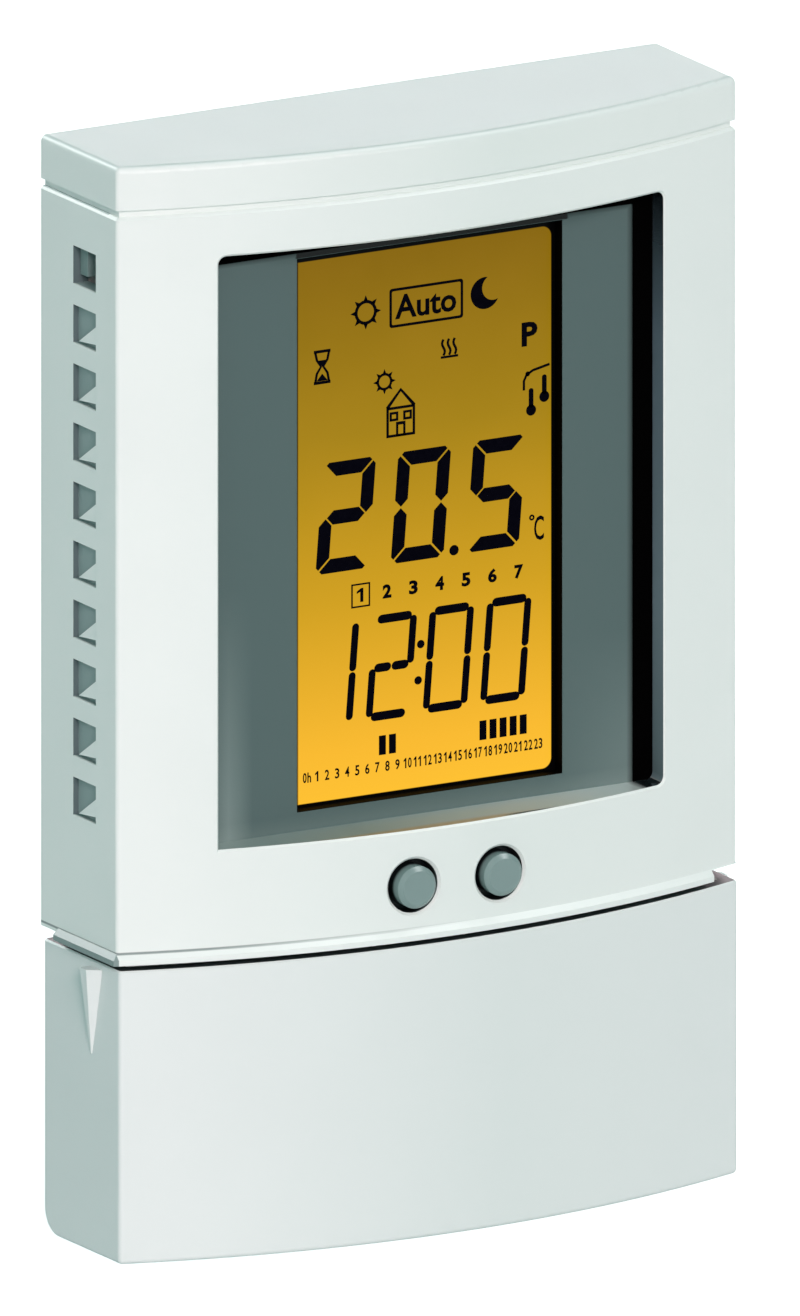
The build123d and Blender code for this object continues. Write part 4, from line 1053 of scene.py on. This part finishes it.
TERMINAL_FACE = 12.2 * MM + PRINT_THICK / 2
POLE_X, POLE_TOP, POLE_PITCH = -34.6, 31.9, 5.08
poles = [lettering(str(i + 1), POLE_X, POLE_TOP - POLE_PITCH * i, 1.9, None if i else 0.8) for i in range(5)]
pale_ink = Finish("terminal_ink")
pale_ink.set("Base Color", pale_ink.mix(pale_ink.noise(0.5 * MM), grey(0.7), grey(0.82)))
piece("terminal_numbers", poles, TERMINAL_FACE, pale_ink)

# %% [markdown]
# ## Ribs in the wall plate, by Geometry Nodes
# The wall plate has shallow pockets in its rear face, and low ribs cross them so that it stays flat
# as it cools. They are a regular grid: two columns and a row of levels, with one long bar on each
# point. Where a level falls on the solid web between two pockets, its bar is inside the plastic.

# %% Plate ribs
ribs = Rule(
    "plate_ribs",
    Columns=2,
    Levels=11,
    ColumnGap=41.0 * MM,
    LevelSpan=40.0 * MM,
    MiddleZ=-28.0 * MM,
    Long=25.1 * MM,
    Thick=0.7 * MM,
    High=0.6 * MM,
    Depth=0.46 * MM,
)
middle = ribs.in_front(0.0, "Depth", "MiddleZ")
standing = ribs.upright_grid("ColumnGap", "LevelSpan", "Columns", "Levels", middle)
placed = ribs.put(ribs.box("Long", "Thick", "High"), standing)
ribs.grow("plate_ribs", placed, base)

# %% [markdown]
# ## Solder joints, by Geometry Nodes
# Through the cable entry the rear of the circuit board shows, with the solder joints of the parts on
# its other side. They stand on a 2.54 mm grid, but only some places are used. A fixed seed picks
# them, and each joint is a small cone of solder.

# %% Solder joints
joints = Rule(
    "solder_joints",
    Columns=9,
    Rows=11,
    Pitch=2.54 * MM,
    MiddleX=0.0,
    MiddleZ=23.0 * MM,
    BoardBack=5.8 * MM,
    Radius=0.62 * MM,
    Tip=0.22 * MM,
    High=0.6 * MM,
    Used=0.38,
    Seed=7,
)
wide = joints.maths("MULTIPLY", "Pitch", joints.maths("SUBTRACT", "Columns", 1.0))
tall = joints.maths("MULTIPLY", "Pitch", joints.maths("SUBTRACT", "Rows", 1.0))
middle = joints.in_front("MiddleX", "BoardBack", "MiddleZ")
standing = joints.upright_grid(wide, tall, "Columns", "Rows", middle)
odds = {"Probability": "Used", "Seed": "Seed"}
chance = joints.add("FunctionNodeRandomValue", {"data_type": "BOOLEAN"}, odds, out=3)
cone = joints.add(
    "GeometryNodeMeshCone",
    {"fill_type": "NGON"},
    {"Vertices": 12, "Radius Top": "Tip", "Radius Bottom": "Radius", "Depth": "High"},
)
placed = joints.put(cone, standing, Selection=chance, Rotation=(-math.pi / 2, 0, 0))
joints.grow("solder_joints", placed, zinc)

# %% [markdown]
# ## Light and floor
# The light is plain: one large soft lamp in front, a little to the left and above, another behind
# that keeps the rear clear, and an even sky that fills the shadows. The sky is a cool green grey, so
# that the sides and the top of the white case turn darker and greener than its front. Two more lamps
# only make highlights, along the cap's side edge and on the lip. What the camera sees behind the
# object is white.

# %% Light and floor
SUN_TOWARDS = Vector((-0.31, -0.88, 0.40)).normalized()
SKY_COLOUR = (0.20, 0.375, 0.36)
FLOOR_Z, FLOOR_HALF = -125 * MM, 20
EDGE_LIGHTS = {"left_edge_light": (-0.255, 0.84, 0.478), "lip_light": (0.484, -0.257, 0.836)}


def sun_lamp(name, towards, strength, degrees, colour, gloss_only=False):
    data = bpy.data.lights.new(name, "SUN")
    data.energy, data.angle, data.color = strength, math.radians(degrees), colour
    item = bpy.data.objects.new(name, data)
    item.rotation_mode = "QUATERNION"
    item.rotation_quaternion = Vector(towards).to_track_quat("Z", "Y")
    item.visible_diffuse = not gloss_only
    bpy.context.scene.collection.objects.link(item)


sun_lamp("key_light", SUN_TOWARDS, 2.5, 22, (1.0, 0.785, 0.82))
sun_lamp("back_light", (0.35, 0.93, 0), 1.9, 30, (1.0, 0.80, 0.84))
for name, towards in EDGE_LIGHTS.items():
    sun_lamp(name, towards, 2.0, 25, (1, 1, 1), gloss_only=True)

world = bpy.data.worlds.new("studio")
world.use_nodes = True
bpy.context.scene.world = world
tree = world.node_tree
sky = tree.nodes["Background"]
sky.inputs["Color"].default_value = (*SKY_COLOUR, 1)
white = tree.nodes.new("ShaderNodeBackground")
path, choice = tree.nodes.new("ShaderNodeLightPath"), tree.nodes.new("ShaderNodeMixShader")
tree.links.new(path.outputs["Is Camera Ray"], choice.inputs[0])
tree.links.new(sky.outputs[0], choice.inputs[1])
tree.links.new(white.outputs[0], choice.inputs[2])
tree.links.new(choice.outputs[0], tree.nodes["World Output"].inputs["Surface"])
white.inputs["Color"].default_value = (1, 1, 1, 1)

floor_finish = Finish("floor_pale", Base_Color=grey(0.85), Roughness=0.9, Specular_IOR_Level=0.1)
floor_finish.set("Emission Color", grey(1))
seen = floor_finish.node("LightPath", out="Is Camera Ray")
floor_finish.set("Emission Strength", seen * 0.8)
floor_mesh = bpy.data.meshes.new("floor")
corners = [(x * FLOOR_HALF, y * FLOOR_HALF, FLOOR_Z) for x, y in ((-1, -1), (1, -1), (1, 1), (-1, 1))]
floor_mesh.from_pydata(corners, [], [(0, 1, 2, 3)])
floor_mesh.materials.append(floor_finish.material)
floor = bpy.data.objects.new("floor", floor_mesh)
bpy.context.scene.collection.objects.link(floor)

bpy.context.scene.view_settings.view_transform = "Standard"
print("light from", [round(v, 2) for v in SUN_TOWARDS])
